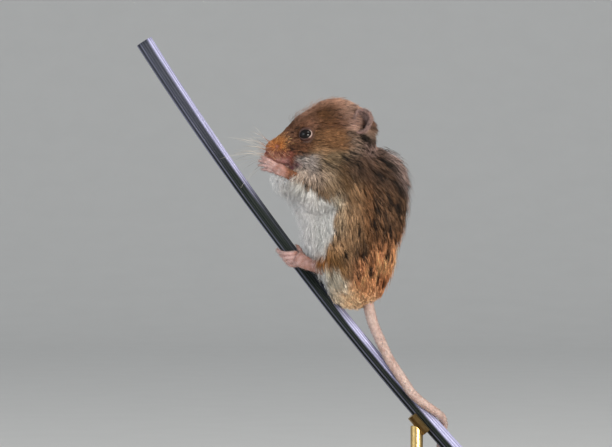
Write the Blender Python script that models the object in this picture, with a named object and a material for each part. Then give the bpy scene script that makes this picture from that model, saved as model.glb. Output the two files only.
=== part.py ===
"""A harvest mouse that sits upright on a cut stem, as a life-size museum model on a plain stand.

Metres, +Z up. The mouse faces -X, and its left side faces -Y. The origin is the centre of the
base's underside. All sizes below are in millimetres and are multiplied by MM where a mesh is made.
The solids reach out to the tips of the coat. Touching pieces keep GAP between them.
"""

import math

import bmesh
import bpy
import numpy as np
from mathutils import Matrix, Vector

MM = 0.001
GAP = 0.3

# The stand: a flat wooden base, and a short brass rod whose cradle holds the stem from below.
BASE_SIZE = (76.0, 44.0, 5.0)
BASE_CORNER = 6.0
BASE_EDGE = 1.0
ROD_RADIUS = 1.2
ROD_SINK = 3.5
CRADLE_AT = (38.4, 42.6)
CRADLE_REACH = (24.0, 156.0)
CRADLE_WALL = 0.8
CRADLE_GRID = (5, 9)
CORNER_STEPS = 6
ROD_SIDES = 16
LEVEL = 1e-7

# The stem: a ribbed stalk on one gentle arc. A place on it is a length down the stalk from the
# point where the left hind foot grips, an angle round it and a distance from its centre line.
STEM_GRIP = (-9.12, 51.95)
STEM_LEAN = math.radians(37.24)
STEM_BEND = 591.5
STEM_TOP = -50.0
STEM_END = 58.0
STEM_RADIUS = 1.38
STEM_SWELL = 0.0055
STEM_SWELL_START = 5.0
STEM_RIBS = 10
RIB_DEPTH = 0.13
STEM_RINGS = 24

# The torso: level sections from the neck down to the rump. Each row is the section's centre (x, z),
# its half depth, the rise of its back edge in degrees, its half width and how narrow its front is.
TORSO_SECTIONS = (
    (-1.9, 71.0, 5.0, 16.0, 3.6, 0.20),
    (-1.9, 70.0, 9.4, 17.0, 5.8, 0.30),
    (-0.5, 68.5, 11.2, 13.0, 6.9, 0.40),
    (0.9, 66.6, 11.6, 10.5, 7.6, 0.42),
    (1.6, 64.0, 11.6, 7.6, 8.2, 0.36),
    (2.3, 61.1, 10.8, 5.0, 8.7, 0.28),
    (2.5, 58.1, 10.2, 3.0, 9.1, 0.20),
    (2.2, 54.8, 9.3, 0.0, 9.3, 0.12),
    (2.4, 51.5, 8.6, -1.0, 9.1, 0.06),
    (2.8, 48.0, 7.0, -2.0, 8.0, 0.0),
    (2.65, 44.6, 5.15, 0.0, 6.1, 0.0),
    (1.8, 42.3, 2.7, 3.0, 3.4, 0.0),
)
TORSO_ENDS = ((-1.9, 71.6), (1.6, 41.5))
BODY_SIDES = 28

# The head: sections across its axis from the nose to the nape. Each row is the centre (x, z), the
# half height, the lean of its top in degrees, the half width and how wide its lower half is.
HEAD_SECTIONS = (
    (-14.1, 71.4, 1.2, -6.0, 1.2, 0.0),
    (-13.3, 71.6, 2.1, -8.0, 2.15, 0.05),
    (-12.0, 71.8, 2.75, -10.0, 2.95, 0.08),
    (-10.0, 72.1, 4.0, -12.0, 4.1, 0.12),
    (-7.7, 72.25, 5.7, -12.0, 5.2, 0.16),
    (-5.2, 72.55, 7.3, -11.0, 6.05, 0.18),
    (-2.3, 73.3, 8.25, -10.5, 6.55, 0.16),
    (0.5, 73.95, 8.2, -10.0, 6.6, 0.12),
    (3.1, 74.4, 7.2, -10.5, 6.1, 0.08),
    (5.2, 74.9, 5.1, -12.0, 4.6, 0.05),
)
HEAD_ENDS = ((-14.5, 71.3), (6.6, 75.3))
NECK_CUT = ((6.9, 72.7), (-10.3, 65.0))
SLAB_REACH = 60.0

# The face.
NOSE_CENTRE = (-13.98, 0.0, 71.4)
NOSE_RADII = (0.85, 1.0, 0.7)
NOSTRIL_RADIUS = 0.28
NOSTRIL_AT = (-14.68, 0.5, 71.4)
NOSE_DETAIL = (14, 8)
NOSTRIL_DETAIL = (8, 6)
MOUTH_LINE = ((-14.15, 0.0, 70.4), (-13.5, 1.2, 70.0), (-12.4, 1.9, 69.7), (-10.9, 2.85, 69.5))
MOUTH_GROOVE = 0.18
LIP_RADIUS = 0.32
LIP_RISE = 0.3
LIP_INSET = (0.98, 0.94, 1.0)
LIP_FORWARD = -0.25
LIP_SIDES = 6
EYE_RADIUS = 1.3
EYE_AT = (-6.5, 4.2, 74.95)
EYE_FACES = (-0.22, 0.95, 0.16)
LID_RADII = (1.42, 1.25)
LID_RISE = 0.55
LID_THICKNESS = 0.34
LID_POINTS = 20
LID_SIDES = 6
EYE_DETAIL = (16, 10)

# The ears: shallow cups, set high on the back of the head.
EAR_AT = (4.0, 5.75, 77.4)
EAR_FACES = (-0.5, 0.82, 0.28)
EAR_RADII = (2.2, 2.5)
EAR_DEPTH = 1.5
EAR_WALL = 0.55
EAR_OUTSIDE = (0.35, 0.65, 0.88, 1.0)
EAR_INSIDE = (1.0, 0.86, 0.6, 0.3)
EAR_SIDES = 20

# The hind legs: a thigh on each flank, and a foot whose toes clasp the stem.
THIGH_AT = (1.9, 5.9, 50.3)
THIGH_RADII = (6.4, 4.1, 4.9)
THIGH_RISE = math.radians(27.0)
THIGH_DETAIL = (20, 12)
FOOT_LINE = (
    (0.4, 6.9, 48.3),
    (-1.8, 6.4, 48.8),
    (-4.0, 5.5, 49.6),
    (-6.4, 3.8, 50.4),
    (-8.1, 2.7, 51.3),
)
FOOT_WIDTHS = (1.0, 1.1, 1.15, 1.3, 1.5)
FOOT_DEPTHS = (0.85, 0.8, 0.75, 0.7, 0.6)
FOOT_SIDES = 12
TOE_RADIUS = 0.46
TOE_TIP_RADIUS = 0.2
TOE_TAPER = 4
TOE_ROOT_LIFT = 0.35
TOE_POINTS = 7
TOE_SIDES = 6
TOE_FLAT_TO = (0.3, 0.1, 1.0)
# Each toe runs from (length down the stem, angle round it) to (length, angle).
LEFT_TOES = (
    ((1.2, -40.0), (-0.9, -86.0)),
    ((0.1, -20.0), (-2.5, 90.0)),
    ((0.8, -10.0), (-1.55, 97.0)),
    ((1.5, -2.0), (-0.6, 96.0)),
    ((2.2, 8.0), (0.4, 84.0)),
)
RIGHT_TOES = (
    ((1.2, -40.0), (-0.9, -74.0)),
    ((0.1, -20.0), (-3.3, 18.0)),
    ((0.8, -10.0), (-2.4, 30.0)),
    ((1.5, -2.0), (-1.4, 38.0)),
    ((2.2, 8.0), (-0.3, 44.0)),
)
RIGHT_FOOT_SHIFT = 1.6

# The forelegs: bent at the elbow, with both hands held to the mouth.
FORELEG_LINE = (
    (-3.6, 6.3, 62.9),
    (-6.1, 5.5, 65.0),
    (-8.0, 4.7, 66.4),
    (-9.4, 4.0, 67.15),
    (-10.6, 3.45, 67.8),
    (-11.7, 3.0, 68.35),
    (-12.5, 2.7, 68.75),
)
FORELEG_WIDTHS = (1.5, 1.3, 1.05, 0.95, 1.1, 1.1, 0.9)
FORELEG_DEPTHS = (1.4, 1.2, 1.0, 0.8, 0.75, 0.7, 0.6)
FORELEG_STEPS = 4
FORELEG_SIDES = 14
WRIST_ROW = 3
FINGERS = (
    ((-12.4, 2.85, 69.25), (-13.6, 3.0, 69.95), (-14.6, 2.35, 70.5)),
    ((-12.6, 2.75, 68.85), (-14.1, 2.65, 69.5), (-15.3, 1.8, 69.95)),
    ((-12.6, 2.6, 68.4), (-14.1, 2.3, 68.85), (-15.45, 1.35, 69.2)),
    ((-12.3, 2.35, 67.95), (-13.7, 1.95, 68.15), (-14.95, 1.0, 68.4)),
)
FINGER_RADIUS = 0.42
FINGER_TIP_RADIUS = 0.24
FINGER_SIDES = 6

# The tail: it drops from the rump, lies along the stem and winds round it to its tip.
TAIL_DROP = (
    (5.0, 0.0, 44.8),
    (5.4, -0.2, 42.6),
    (5.9, -0.7, 40.3),
    (6.55, -1.3, 38.2),
    (8.0, -2.1, 34.9),
)
TAIL_WIND = (
    (27.9, -48.0),
    (32.0, -35.0),
    (35.1, -27.0),
    (37.7, -36.0),
    (40.2, -57.0),
    (42.0, -84.0),
    (43.8, -130.0),
    (45.6, -190.0),
    (47.6, -255.0),
    (49.4, -325.0),
    (50.9, -400.0),
    (52.3, -475.0),
    (53.7, -550.0),
    (54.9, -610.0),
)
TAIL_BASE_RADIUS = 1.1
TAIL_WIND_RADIUS = 0.94
TAIL_TIP_RADIUS = 0.3
TAIL_CLEARANCE = 0.38
TAIL_TAPER = 1.3
TAIL_STEPS = 6
TAIL_LENGTHS = 6
TAIL_SIDES = 10
TAIL_RINGS = 10

# A tube's domed ends, as shares of its radius there.
START_DOME = 0.5
END_DOME = 0.8

# Each finish: its colour, roughness and metallic value.
FINISHES = {
    "fur": ((0.36, 0.19, 0.08), 0.9, 0.0),
    "bare_skin": ((0.72, 0.45, 0.38), 0.6, 0.0),
    "eye": ((0.01, 0.008, 0.008), 0.1, 0.0),
    "stem": ((0.22, 0.28, 0.24), 0.6, 0.0),
    "base_wood": ((0.12, 0.06, 0.035), 0.4, 0.0),
    "rod_brass": ((0.6, 0.45, 0.2), 0.3, 1.0),
}


def clear_scene():
    for obj in list(bpy.data.objects):
        bpy.data.objects.remove(obj, do_unlink=True)


def material(name):
    colour, roughness, metallic = FINISHES[name]
    made = bpy.data.materials.new(name)
    made.use_nodes = True
    shader = made.node_tree.nodes["Principled BSDF"]
    shader.inputs["Base Color"].default_value = (*colour, 1.0)
    shader.inputs["Roughness"].default_value = roughness
    shader.inputs["Metallic"].default_value = metallic
    return made


def mesh_object(name, points, faces):
    """An object whose mesh holds these points, in millimetres, and these faces."""
    mesh = bpy.data.meshes.new(name)
    mesh.from_pydata((np.asarray(points) * MM).tolist(), [], faces)
    mesh.validate()
    mesh.shade_smooth()
    obj = bpy.data.objects.new(name, mesh)
    bpy.context.scene.collection.objects.link(obj)
    return obj


def settle(obj):
    """Applies what modifiers the object has."""
    bpy.context.view_layer.update()
    graph = bpy.context.evaluated_depsgraph_get()
    mesh = bpy.data.meshes.new_from_object(obj.evaluated_get(graph))
    old = obj.data
    obj.modifiers.clear()
    obj.data = mesh
    bpy.data.meshes.remove(old)
    return obj


def keep_largest(obj):
    """Leaves only the largest of the mesh's closed surfaces, and drops scraps that a cut left."""
    shape = bmesh.new()
    shape.from_mesh(obj.data)
    left = set(shape.faces)
    bodies = []
    while left:
        body = {left.pop()}
        edge_of = list(body)
        while edge_of:
            face = edge_of.pop()
            for edge in face.edges:
                for other in edge.link_faces:
                    if other in left:
                        left.remove(other)
                        body.add(other)
                        edge_of.append(other)
        bodies.append(body)
    bodies.sort(key=lambda body: sum(face.calc_area() for face in body))
    scraps = [face for body in bodies[:-1] for face in body]
    if scraps:
        bmesh.ops.delete(shape, geom=scraps, context="FACES")
        shape.to_mesh(obj.data)
    shape.free()
    return obj


def combine(obj, operation, others):
    """Joins the object with the others, or cuts it by them, and removes the others."""
    tools = bpy.data.collections.new("tools")
    bpy.context.scene.collection.children.link(tools)
    for other in others:
        bpy.context.scene.collection.objects.unlink(other)
        tools.objects.link(other)
    boolean = obj.modifiers.new("Combine", "BOOLEAN")
    boolean.operand_type = "COLLECTION"
    boolean.collection = tools
    boolean.operation = operation
    boolean.solver = "MANIFOLD"
    settle(obj)
    for other in others:
        bpy.data.objects.remove(other, do_unlink=True)
    bpy.data.collections.remove(tools)
    return keep_largest(obj)


def grown(obj, by=GAP):
    """A copy of the object, swollen by this many millimetres along its normals."""
    mesh = obj.data.copy()
    normals = [vertex.normal.copy() for vertex in mesh.vertices]
    for vertex, normal in zip(mesh.vertices, normals):
        vertex.co += normal * by * MM
    copy = bpy.data.objects.new(obj.name + "_grown", mesh)
    bpy.context.scene.collection.objects.link(copy)
    return copy


def through(rows, steps):
    """Rows of numbers read from a smooth curve through the given rows, with this many steps each."""
    rows = np.asarray(rows, float)
    padded = np.vstack([2 * rows[0] - rows[1], rows, 2 * rows[-1] - rows[-2]])
    share = np.linspace(0.0, 1.0, steps, endpoint=False)[:, None]
    found = []
    for before, start, end, after in zip(padded, padded[1:], padded[2:], padded[3:]):
        found.append(
            0.5
            * (
                2 * start
                + (end - before) * share
                + (2 * before - 5 * start + 4 * end - after) * share**2
                + (3 * start - before - 3 * end + after) * share**3
            )
        )
    return np.vstack(found + [rows[-1:]])


def closed_rings(name, rings, first=None, last=None):
    """A closed body from rings of points, each end fanned to the given point or to its own middle."""
    rings = np.asarray(rings, float)
    count, around = rings.shape[:2]
    first = rings[0].mean(0) if first is None else np.asarray(first)
    last = rings[-1].mean(0) if last is None else np.asarray(last)
    points = np.vstack([rings.reshape(-1, 3), first, last])
    faces = []
    for row in range(count - 1):
        for k in range(around):
            a, b = row * around + k, row * around + (k + 1) % around
            faces.append((a, b, b + around, a + around))
    start, end = count * around, count * around + 1
    for k in range(around):
        nxt = (k + 1) % around
        faces.append((start, nxt, k))
        faces.append((end, (count - 1) * around + k, (count - 1) * around + nxt))
    obj = mesh_object(name, points, faces)
    return face_outward(obj)


def face_outward(obj):
    shape = bmesh.new()
    shape.from_mesh(obj.data)
    bmesh.ops.recalc_face_normals(shape, faces=shape.faces)
    shape.to_mesh(obj.data)
    shape.free()
    return obj


def tube(name, line, widths, sides, depths=None, flat_to=(0.0, 1.0, 0.0), flat_ends=(False, False)):
    """A closed tube along a line of points. Where depths are given, it is that thick along flat_to.

    Its ends are domed, apart from those that flat_ends asks to be flat."""
    line = np.asarray(line, float)
    along = np.gradient(line, axis=0)
    along /= np.linalg.norm(along, axis=1)[:, None]
    thin = np.asarray(flat_to, float) - along * (along @ np.asarray(flat_to, float))[:, None]
    thin /= np.linalg.norm(thin, axis=1)[:, None]
    wide = np.cross(along, thin)
    widths = np.asarray(widths, float)
    depths = widths if depths is None else np.asarray(depths, float)
    turn = np.linspace(0.0, 2 * math.pi, sides, endpoint=False)
    rings = (
        line[:, None]
        + wide[:, None] * (widths[:, None] * np.cos(turn))[..., None]
        + thin[:, None] * (depths[:, None] * np.sin(turn))[..., None]
    )
    domes = [0.0 if flat else dome for flat, dome in zip(flat_ends, (START_DOME, END_DOME))]
    first = line[0] - along[0] * min(widths[0], depths[0]) * domes[0]
    last = line[-1] + along[-1] * min(widths[-1], depths[-1]) * domes[1]
    return closed_rings(name, rings, first, last)


def ball(name, centre, radii, detail, turn=None):
    """A closed ellipsoid, turned by a matrix where one is given."""
    shape = bmesh.new()
    bmesh.ops.create_uvsphere(shape, u_segments=detail[0], v_segments=detail[1], radius=1.0)
    scale = Matrix.Diagonal((*(r * MM for r in radii), 1.0))
    place = Matrix.Translation(Vector(centre) * MM)
    bmesh.ops.transform(shape, verts=shape.verts, matrix=place @ (turn or Matrix()) @ scale)
    mesh = bpy.data.meshes.new(name)
    shape.to_mesh(mesh)
    shape.free()
    mesh.shade_smooth()
    obj = bpy.data.objects.new(name, mesh)
    bpy.context.scene.collection.objects.link(obj)
    return obj


def mirrored(point, side):
    """The point on the left side (-Y) for side -1, or on the right side for side 1."""
    return (point[0], point[1] * side, point[2])


def stem_radius(length):
    """The stem is thinnest at the grip and swells slowly towards both ends."""
    away = np.sqrt(np.square(length) + STEM_SWELL_START**2) - STEM_SWELL_START
    return STEM_RADIUS + STEM_SWELL * away


def on_stem(length, angle, distance):
    """The point at this length down the stem, this angle round it and this far from its centre line.

    Angle 0 is the side that faces -Y, and 90 degrees is the side under the slope."""
    lean = STEM_LEAN + np.asarray(length) / STEM_BEND
    angle = np.radians(angle)
    x = STEM_GRIP[0] + STEM_BEND * (math.cos(STEM_LEAN) - np.cos(lean))
    z = STEM_GRIP[1] - STEM_BEND * (np.sin(lean) - math.sin(STEM_LEAN))
    under = distance * np.sin(angle)
    return np.stack(
        [x - np.cos(lean) * under, -distance * np.cos(angle), z - np.sin(lean) * under], axis=-1
    )


def stem_rings(swell=0.0):
    """Rings of points down the ribbed stem, or round a bore that clears it by swell."""
    lengths = np.linspace(STEM_TOP, STEM_END, STEM_RINGS)[:, None]
    turn = np.linspace(0.0, 360.0, 2 * STEM_RIBS, endpoint=False)[None, :]
    rib = RIB_DEPTH * (np.arange(2 * STEM_RIBS) % 2)[None, :] * (swell == 0.0)
    return on_stem(lengths + 0 * turn, turn + 0 * lengths, stem_radius(lengths) - rib + swell)


def make_stem():
    return closed_rings("stem", stem_rings())


def trough_body(name, rings):
    """A closed half pipe. Each ring runs along the inside and back along the outside."""
    count, around = rings.shape[:2]
    last = (count - 1) * around
    faces = []
    for row in range(count - 1):
        for k in range(around):
            a, b = row * around + k, row * around + (k + 1) % around
            faces.append((a, b, b + around, a + around))
    for k in range(around // 2 - 1):
        back = around - 1 - k
        faces.append((k, k + 1, back - 1, back))
        faces.append((last + k, last + k + 1, last + back - 1, last + back))
    return face_outward(mesh_object(name, rings.reshape(-1, 3), faces))


def make_stand():
    """The base, with its edges rounded, and the rod, with a cradle fused to it that holds the stem."""
    shape = bmesh.new()
    length, width, height = BASE_SIZE
    centres = [
        (sx * (length / 2 - BASE_CORNER), sy * (width / 2 - BASE_CORNER), at)
        for sx, sy, at in ((1, 1, 0), (-1, 1, 90), (-1, -1, 180), (1, -1, 270))
    ]
    outline = []
    for cx, cy, at in centres:
        for step in range(CORNER_STEPS + 1):
            angle = math.radians(at + 90 / CORNER_STEPS * step)
            outline.append((cx + BASE_CORNER * math.cos(angle), cy + BASE_CORNER * math.sin(angle)))
    lower = [shape.verts.new(Vector((x, y, 0.0)) * MM) for x, y in outline]
    bottom = shape.faces.new(lower)
    raised = bmesh.ops.extrude_face_region(shape, geom=[bottom])["geom"]
    top = [item for item in raised if isinstance(item, bmesh.types.BMVert)]
    bmesh.ops.translate(shape, verts=top, vec=Vector((0.0, 0.0, height * MM)))
    rim = [e for e in shape.edges if all(abs(v.co.z - height * MM) < LEVEL for v in e.verts)]
    bmesh.ops.bevel(shape, geom=rim, offset=BASE_EDGE * MM, segments=2, profile=0.5, affect="EDGES")
    bmesh.ops.recalc_face_normals(shape, faces=shape.faces)
    mesh = bpy.data.meshes.new("stand_base")
    shape.to_mesh(mesh)
    shape.free()
    base = bpy.data.objects.new("stand_base", mesh)
    bpy.context.scene.collection.objects.link(base)

    lengths = np.linspace(*CRADLE_AT, CRADLE_GRID[0])
    angles = np.linspace(*CRADLE_REACH, CRADLE_GRID[1])
    middle = np.mean(CRADLE_AT)
    inner = stem_radius(middle) + GAP
    trough = []
    for length in lengths:
        inside = [on_stem(length, angle, inner) for angle in angles]
        outside = [on_stem(length, angle, inner + CRADLE_WALL) for angle in angles[::-1]]
        trough.append(inside + outside)
    cradle = trough_body("cradle", np.array(trough))
    rod_x, _, rod_top = on_stem(middle, 90.0, inner + CRADLE_WALL / 2)
    rod = tube(
        "stand_rod",
        [(rod_x, 0.0, z) for z in np.linspace(BASE_SIZE[2] - ROD_SINK, rod_top, 3)],
        [ROD_RADIUS] * 3,
        ROD_SIDES,
        flat_ends=(True, True),
    )
    well = tube(
        "well",
        [(rod_x, 0.0, z) for z in np.linspace(BASE_SIZE[2] - ROD_SINK - GAP, rod_top, 3)],
        [ROD_RADIUS + GAP] * 3,
        ROD_SIDES,
        flat_ends=(True, True),
    )
    bed = closed_rings("bed", stem_rings(inner - stem_radius(middle)))
    combine(rod, "UNION", [cradle])
    combine(rod, "DIFFERENCE", [bed])
    combine(base, "DIFFERENCE", [well])
    return base, rod


def make_torso():
    rows = through(TORSO_SECTIONS, 2)
    turn = np.linspace(0.0, 2 * math.pi, BODY_SIDES, endpoint=False)
    x, z, depth, rise, width, narrow = (column[:, None] for column in rows.T)
    rise = np.radians(rise)
    out = np.cos(turn)[None, :]
    side = np.sin(turn)[None, :] * width * (1 + narrow * out)
    rings = np.stack(
        [x + depth * out * np.cos(rise), side + 0 * x, z + depth * out * np.sin(rise)], axis=-1
    )
    ends = [(x, 0.0, z) for x, z in TORSO_ENDS]
    return closed_rings("torso", rings, *ends)


def make_head():
    rows = through(HEAD_SECTIONS, 2)
    turn = np.linspace(0.0, 2 * math.pi, BODY_SIDES, endpoint=False)
    x, z, height, lean, width, jowl = (column[:, None] for column in rows.T)
    lean = np.radians(lean)
    up = np.cos(turn)[None, :]
    side = np.sin(turn)[None, :] * width * (1 - jowl * up)
    rings = np.stack(
        [x + height * up * np.sin(lean), side + 0 * x, z + height * up * np.cos(lean)], axis=-1
    )
    ends = [(x, 0.0, z) for x, z in HEAD_ENDS]
    return closed_rings("head", rings, *ends)


def slab(name, across, side):
    """A block that fills all that lies above (side 1) or below (side -1) the neck cut."""
    (x0, z0), (x1, z1) = across
    along = np.array([x1 - x0, z1 - z0]) / math.hypot(x1 - x0, z1 - z0)
    up = np.array([along[1], -along[0]])
    middle = np.array([(x0 + x1) / 2, (z0 + z1) / 2]) - up * side * GAP / 2
    corners = []
    for away in (0.0, side * SLAB_REACH):
        for step in (-SLAB_REACH, SLAB_REACH):
            x, z = middle + along * step + up * away
            corners += [(x, -SLAB_REACH, z), (x, SLAB_REACH, z)]
    faces = [(0, 1, 3, 2), (4, 5, 7, 6), (0, 1, 5, 4), (2, 3, 7, 6), (0, 2, 6, 4), (1, 3, 7, 5)]
    return face_outward(mesh_object(name, corners, faces))


def add_face(head):
    """The nose pad and lids are fused to the head; sockets, nostrils and mouth are cut in it."""
    joined = [ball("nose", NOSE_CENTRE, NOSE_RADII, NOSE_DETAIL)]
    cuts = []
    turn = np.linspace(0.0, 2 * math.pi, LID_POINTS, endpoint=False)
    for side in (-1, 1):
        centre = np.array(mirrored(EYE_AT, side))
        faces_out = np.array(mirrored(EYE_FACES, side))
        faces_out /= np.linalg.norm(faces_out)
        ahead = np.cross((0.0, 0.0, 1.0), faces_out)
        ahead /= np.linalg.norm(ahead)
        above = np.cross(faces_out, ahead)
        rim = centre + faces_out * LID_RISE
        loop = (
            rim
            + ahead * (LID_RADII[0] * np.cos(turn))[:, None]
            + above * (LID_RADII[1] * np.sin(turn))[:, None]
        )
        joined.append(ring_tube(f"lid_{side}", loop, rim, LID_THICKNESS))
        cuts.append(ball(f"socket_{side}", centre, (EYE_RADIUS + GAP,) * 3, EYE_DETAIL))
        nostril = mirrored(NOSTRIL_AT, side)
        cuts.append(ball(f"nostril_{side}", nostril, (NOSTRIL_RADIUS,) * 3, NOSTRIL_DETAIL))
    left = [mirrored(point, -1) for point in MOUTH_LINE[::-1]]
    line = through(left + [mirrored(point, 1) for point in MOUTH_LINE[1:]], 2)
    for rise in (LIP_RISE, -LIP_RISE):
        lip = line * LIP_INSET + (LIP_FORWARD, 0.0, rise)
        joined.append(tube("lip", lip, [LIP_RADIUS] * len(lip), LIP_SIDES, flat_to=(0.0, 0.0, 1.0)))
    combine(head, "UNION", joined)
    cuts.append(tube("mouth", line, [MOUTH_GROOVE] * len(line), LIP_SIDES, flat_to=(0.0, 0.0, 1.0)))
    return combine(head, "DIFFERENCE", cuts)


def ring_tube(name, loop, centre, radius):
    """A closed ring of round section whose middle line is this loop of points round the centre."""
    outward = loop - centre
    outward /= np.linalg.norm(outward, axis=1)[:, None]
    along = np.roll(loop, -1, 0) - np.roll(loop, 1, 0)
    normal = np.cross(outward, along)
    normal /= np.linalg.norm(normal, axis=1)[:, None]
    turn = np.linspace(0.0, 2 * math.pi, LID_SIDES, endpoint=False)
    points = (
        loop[:, None]
        + outward[:, None] * (radius * np.cos(turn))[None, :, None]
        + normal[:, None] * (radius * np.sin(turn))[None, :, None]
    )
    count, around = points.shape[:2]
    faces = [
        (
            i * around + k,
            i * around + (k + 1) % around,
            ((i + 1) % count) * around + (k + 1) % around,
            ((i + 1) % count) * around + k,
        )
        for i in range(count)
        for k in range(around)
    ]
    return face_outward(mesh_object(name, points.reshape(-1, 3), faces))


def make_ear(side, head, torso):
    """A cup: an outer bowl, a rim and an inner bowl, with its root trimmed to the head."""
    faces_out = np.array(mirrored(EAR_FACES, side))
    faces_out /= np.linalg.norm(faces_out)
    across = np.cross((0.0, 0.0, 1.0), faces_out)
    across /= np.linalg.norm(across)
    above = np.cross(faces_out, across)
    turn = np.linspace(0.0, 2 * math.pi, EAR_SIDES, endpoint=False)
    rings = []
    bowls = ((EAR_WALL / 2, EAR_OUTSIDE), (-EAR_WALL / 2, EAR_INSIDE))
    for swell, shares in bowls:
        for share in shares:
            depth = (EAR_DEPTH + swell) * math.sqrt(max(0.0, 1 - share**2))
            reach = [(radius + swell) * share for radius in EAR_RADII]
            rings.append(
                np.array(mirrored(EAR_AT, side))
                - faces_out * depth
                + across * (reach[0] * np.cos(turn))[:, None]
                + above * (reach[1] * np.sin(turn))[:, None]
            )
    name = "ear_left" if side < 0 else "ear_right"
    deepest = [
        np.array(mirrored(EAR_AT, side)) - faces_out * (EAR_DEPTH + swell)
        for swell in (EAR_WALL / 2, -EAR_WALL / 2)
    ]
    ear = closed_rings(name, rings, deepest[0], deepest[1])
    return combine(ear, "DIFFERENCE", [grown(head), grown(torso)])


def make_eye(side):
    name = "eye_left" if side < 0 else "eye_right"
    return ball(name, mirrored(EYE_AT, side), (EYE_RADIUS,) * 3, EYE_DETAIL)


def make_thigh(side, swell=0.0):
    """The thigh, or with a swell the room that the torso leaves for it."""
    name = "hindleg_left" if side < 0 else "hindleg_right"
    turn = Matrix.Rotation(THIGH_RISE, 4, "Y")
    radii = [radius + swell for radius in THIGH_RADII]
    return ball(name, mirrored(THIGH_AT, side), radii, THIGH_DETAIL, turn)


def make_hind_foot(side):
    """The instep and its toes, each a tube that follows the stem's surface, fused in one solid."""
    name = "hindfoot_left" if side < 0 else "hindfoot_right"
    shift = 0.0 if side < 0 else RIGHT_FOOT_SHIFT
    slide = on_stem(shift, 0.0, 0.0) - on_stem(0.0, 0.0, 0.0)
    rows = np.column_stack([FOOT_LINE, FOOT_WIDTHS, FOOT_DEPTHS])
    rows = through(rows, 2)
    line = rows[:, :3] * (1, side, 1) + slide
    foot = tube(name, line, rows[:, 3], FOOT_SIDES, rows[:, 4])
    toes = []
    for start, end in LEFT_TOES if side < 0 else RIGHT_TOES:
        share = np.linspace(0.0, 1.0, TOE_POINTS)
        length = start[0] + (end[0] - start[0]) * share + shift
        angle = start[1] + (end[1] - start[1]) * share
        angle = angle if side < 0 else 180.0 - angle
        radius = TOE_RADIUS - (TOE_RADIUS - TOE_TIP_RADIUS) * share**TOE_TAPER
        lift = stem_radius(length) + GAP + radius + TOE_ROOT_LIFT * (1 - share) ** 2
        line = on_stem(length, angle, lift)
        toes.append(tube("toe", line, radius, TOE_SIDES, flat_to=TOE_FLAT_TO))
    return combine(foot, "UNION", toes)


def make_foreleg(side, torso, head):
    """The forearm, and the hand that carries on from its flat wrist face, trimmed to chest and chin."""
    word = "left" if side < 0 else "right"
    rows = through(np.column_stack([FORELEG_LINE, FORELEG_WIDTHS, FORELEG_DEPTHS]), FORELEG_STEPS)
    rows[:, 1] *= side
    wrist = WRIST_ROW * FORELEG_STEPS
    along = rows[wrist, :3] - rows[wrist - 1, :3]
    hand_rows = np.vstack([rows[wrist], rows[wrist + 2 :]])
    hand_rows[0, :3] += along / np.linalg.norm(along) * GAP
    made = []
    for name, part, flat_ends in (
        (f"foreleg_{word}", rows[: wrist + 1], (False, True)),
        (f"forefoot_{word}", hand_rows, (True, False)),
    ):
        made.append(tube(name, part[:, :3], part[:, 3], FORELEG_SIDES, part[:, 4], flat_ends=flat_ends))
    arm, hand = made
    fingers = []
    for joints in FINGERS:
        line = through(joints, 3) * (1, side, 1)
        share = np.linspace(0.0, 1.0, len(line))
        radius = FINGER_RADIUS - (FINGER_RADIUS - FINGER_TIP_RADIUS) * share**2
        fingers.append(tube("finger", line, radius, FINGER_SIDES))
    combine(hand, "UNION", fingers)
    for part in (arm, hand):
        combine(part, "DIFFERENCE", [grown(torso), grown(head)])
    return arm, hand


def tail_line():
    """The middle line of the tail and its radius at each point, evenly spaced along it."""
    wind = through(TAIL_WIND, TAIL_STEPS)
    share = np.linspace(0.0, 1.0, len(wind))
    radius = TAIL_WIND_RADIUS - (TAIL_WIND_RADIUS - TAIL_TIP_RADIUS) * share**TAIL_TAPER
    wound = on_stem(wind[:, 0], wind[:, 1], stem_radius(wind[:, 0]) + TAIL_CLEARANCE + radius)
    drop = through(np.vstack([TAIL_DROP, wound[::TAIL_STEPS][:2]]), TAIL_STEPS)[: -TAIL_STEPS - 1]
    line = np.vstack([drop, wound])
    radii = np.concatenate([np.linspace(TAIL_BASE_RADIUS, TAIL_WIND_RADIUS, len(drop)), radius])
    step = np.linalg.norm(np.diff(line, axis=0), axis=1)
    walked = np.concatenate([[0.0], np.cumsum(step)])
    return line, radii, walked


def make_tail(torso):
    """The tail in several lengths, each a row of rings with flat ends, and a thin cut between."""
    line, radii, walked = tail_line()
    along = np.gradient(line, walked, axis=0)
    along /= np.linalg.norm(along, axis=1)[:, None]
    across = np.empty_like(along)
    guess = np.array([0.0, 1.0, 0.0])
    for index, direction in enumerate(along):
        guess = guess - direction * (guess @ direction)
        guess /= np.linalg.norm(guess)
        across[index] = guess
    turn = np.linspace(0.0, 2 * math.pi, TAIL_SIDES, endpoint=False)
    cuts = np.linspace(0.0, walked[-1], TAIL_LENGTHS + 1)
    made = []
    for index in range(TAIL_LENGTHS):
        start = cuts[index] + (GAP / 2 if index else 0.0)
        end = cuts[index + 1] - (GAP / 2 if index < TAIL_LENGTHS - 1 else 0.0)
        at = np.linspace(start, end, TAIL_RINGS)
        middle, ahead, side = (
            np.stack([np.interp(at, walked, rows[:, axis]) for axis in range(3)], axis=1)
            for rows in (line, along, across)
        )
        radius = np.interp(at, walked, radii)[:, None, None]
        other = np.cross(ahead, side)
        rings = middle[:, None] + radius * (
            side[:, None] * np.cos(turn)[None, :, None] + other[:, None] * np.sin(turn)[None, :, None]
        )
        tip = middle[-1] + ahead[-1] * TAIL_TIP_RADIUS if index == TAIL_LENGTHS - 1 else None
        made.append(closed_rings(f"tail_{index + 1}", rings, None, tip))
    combine(made[0], "DIFFERENCE", [grown(torso)])
    return made


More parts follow.
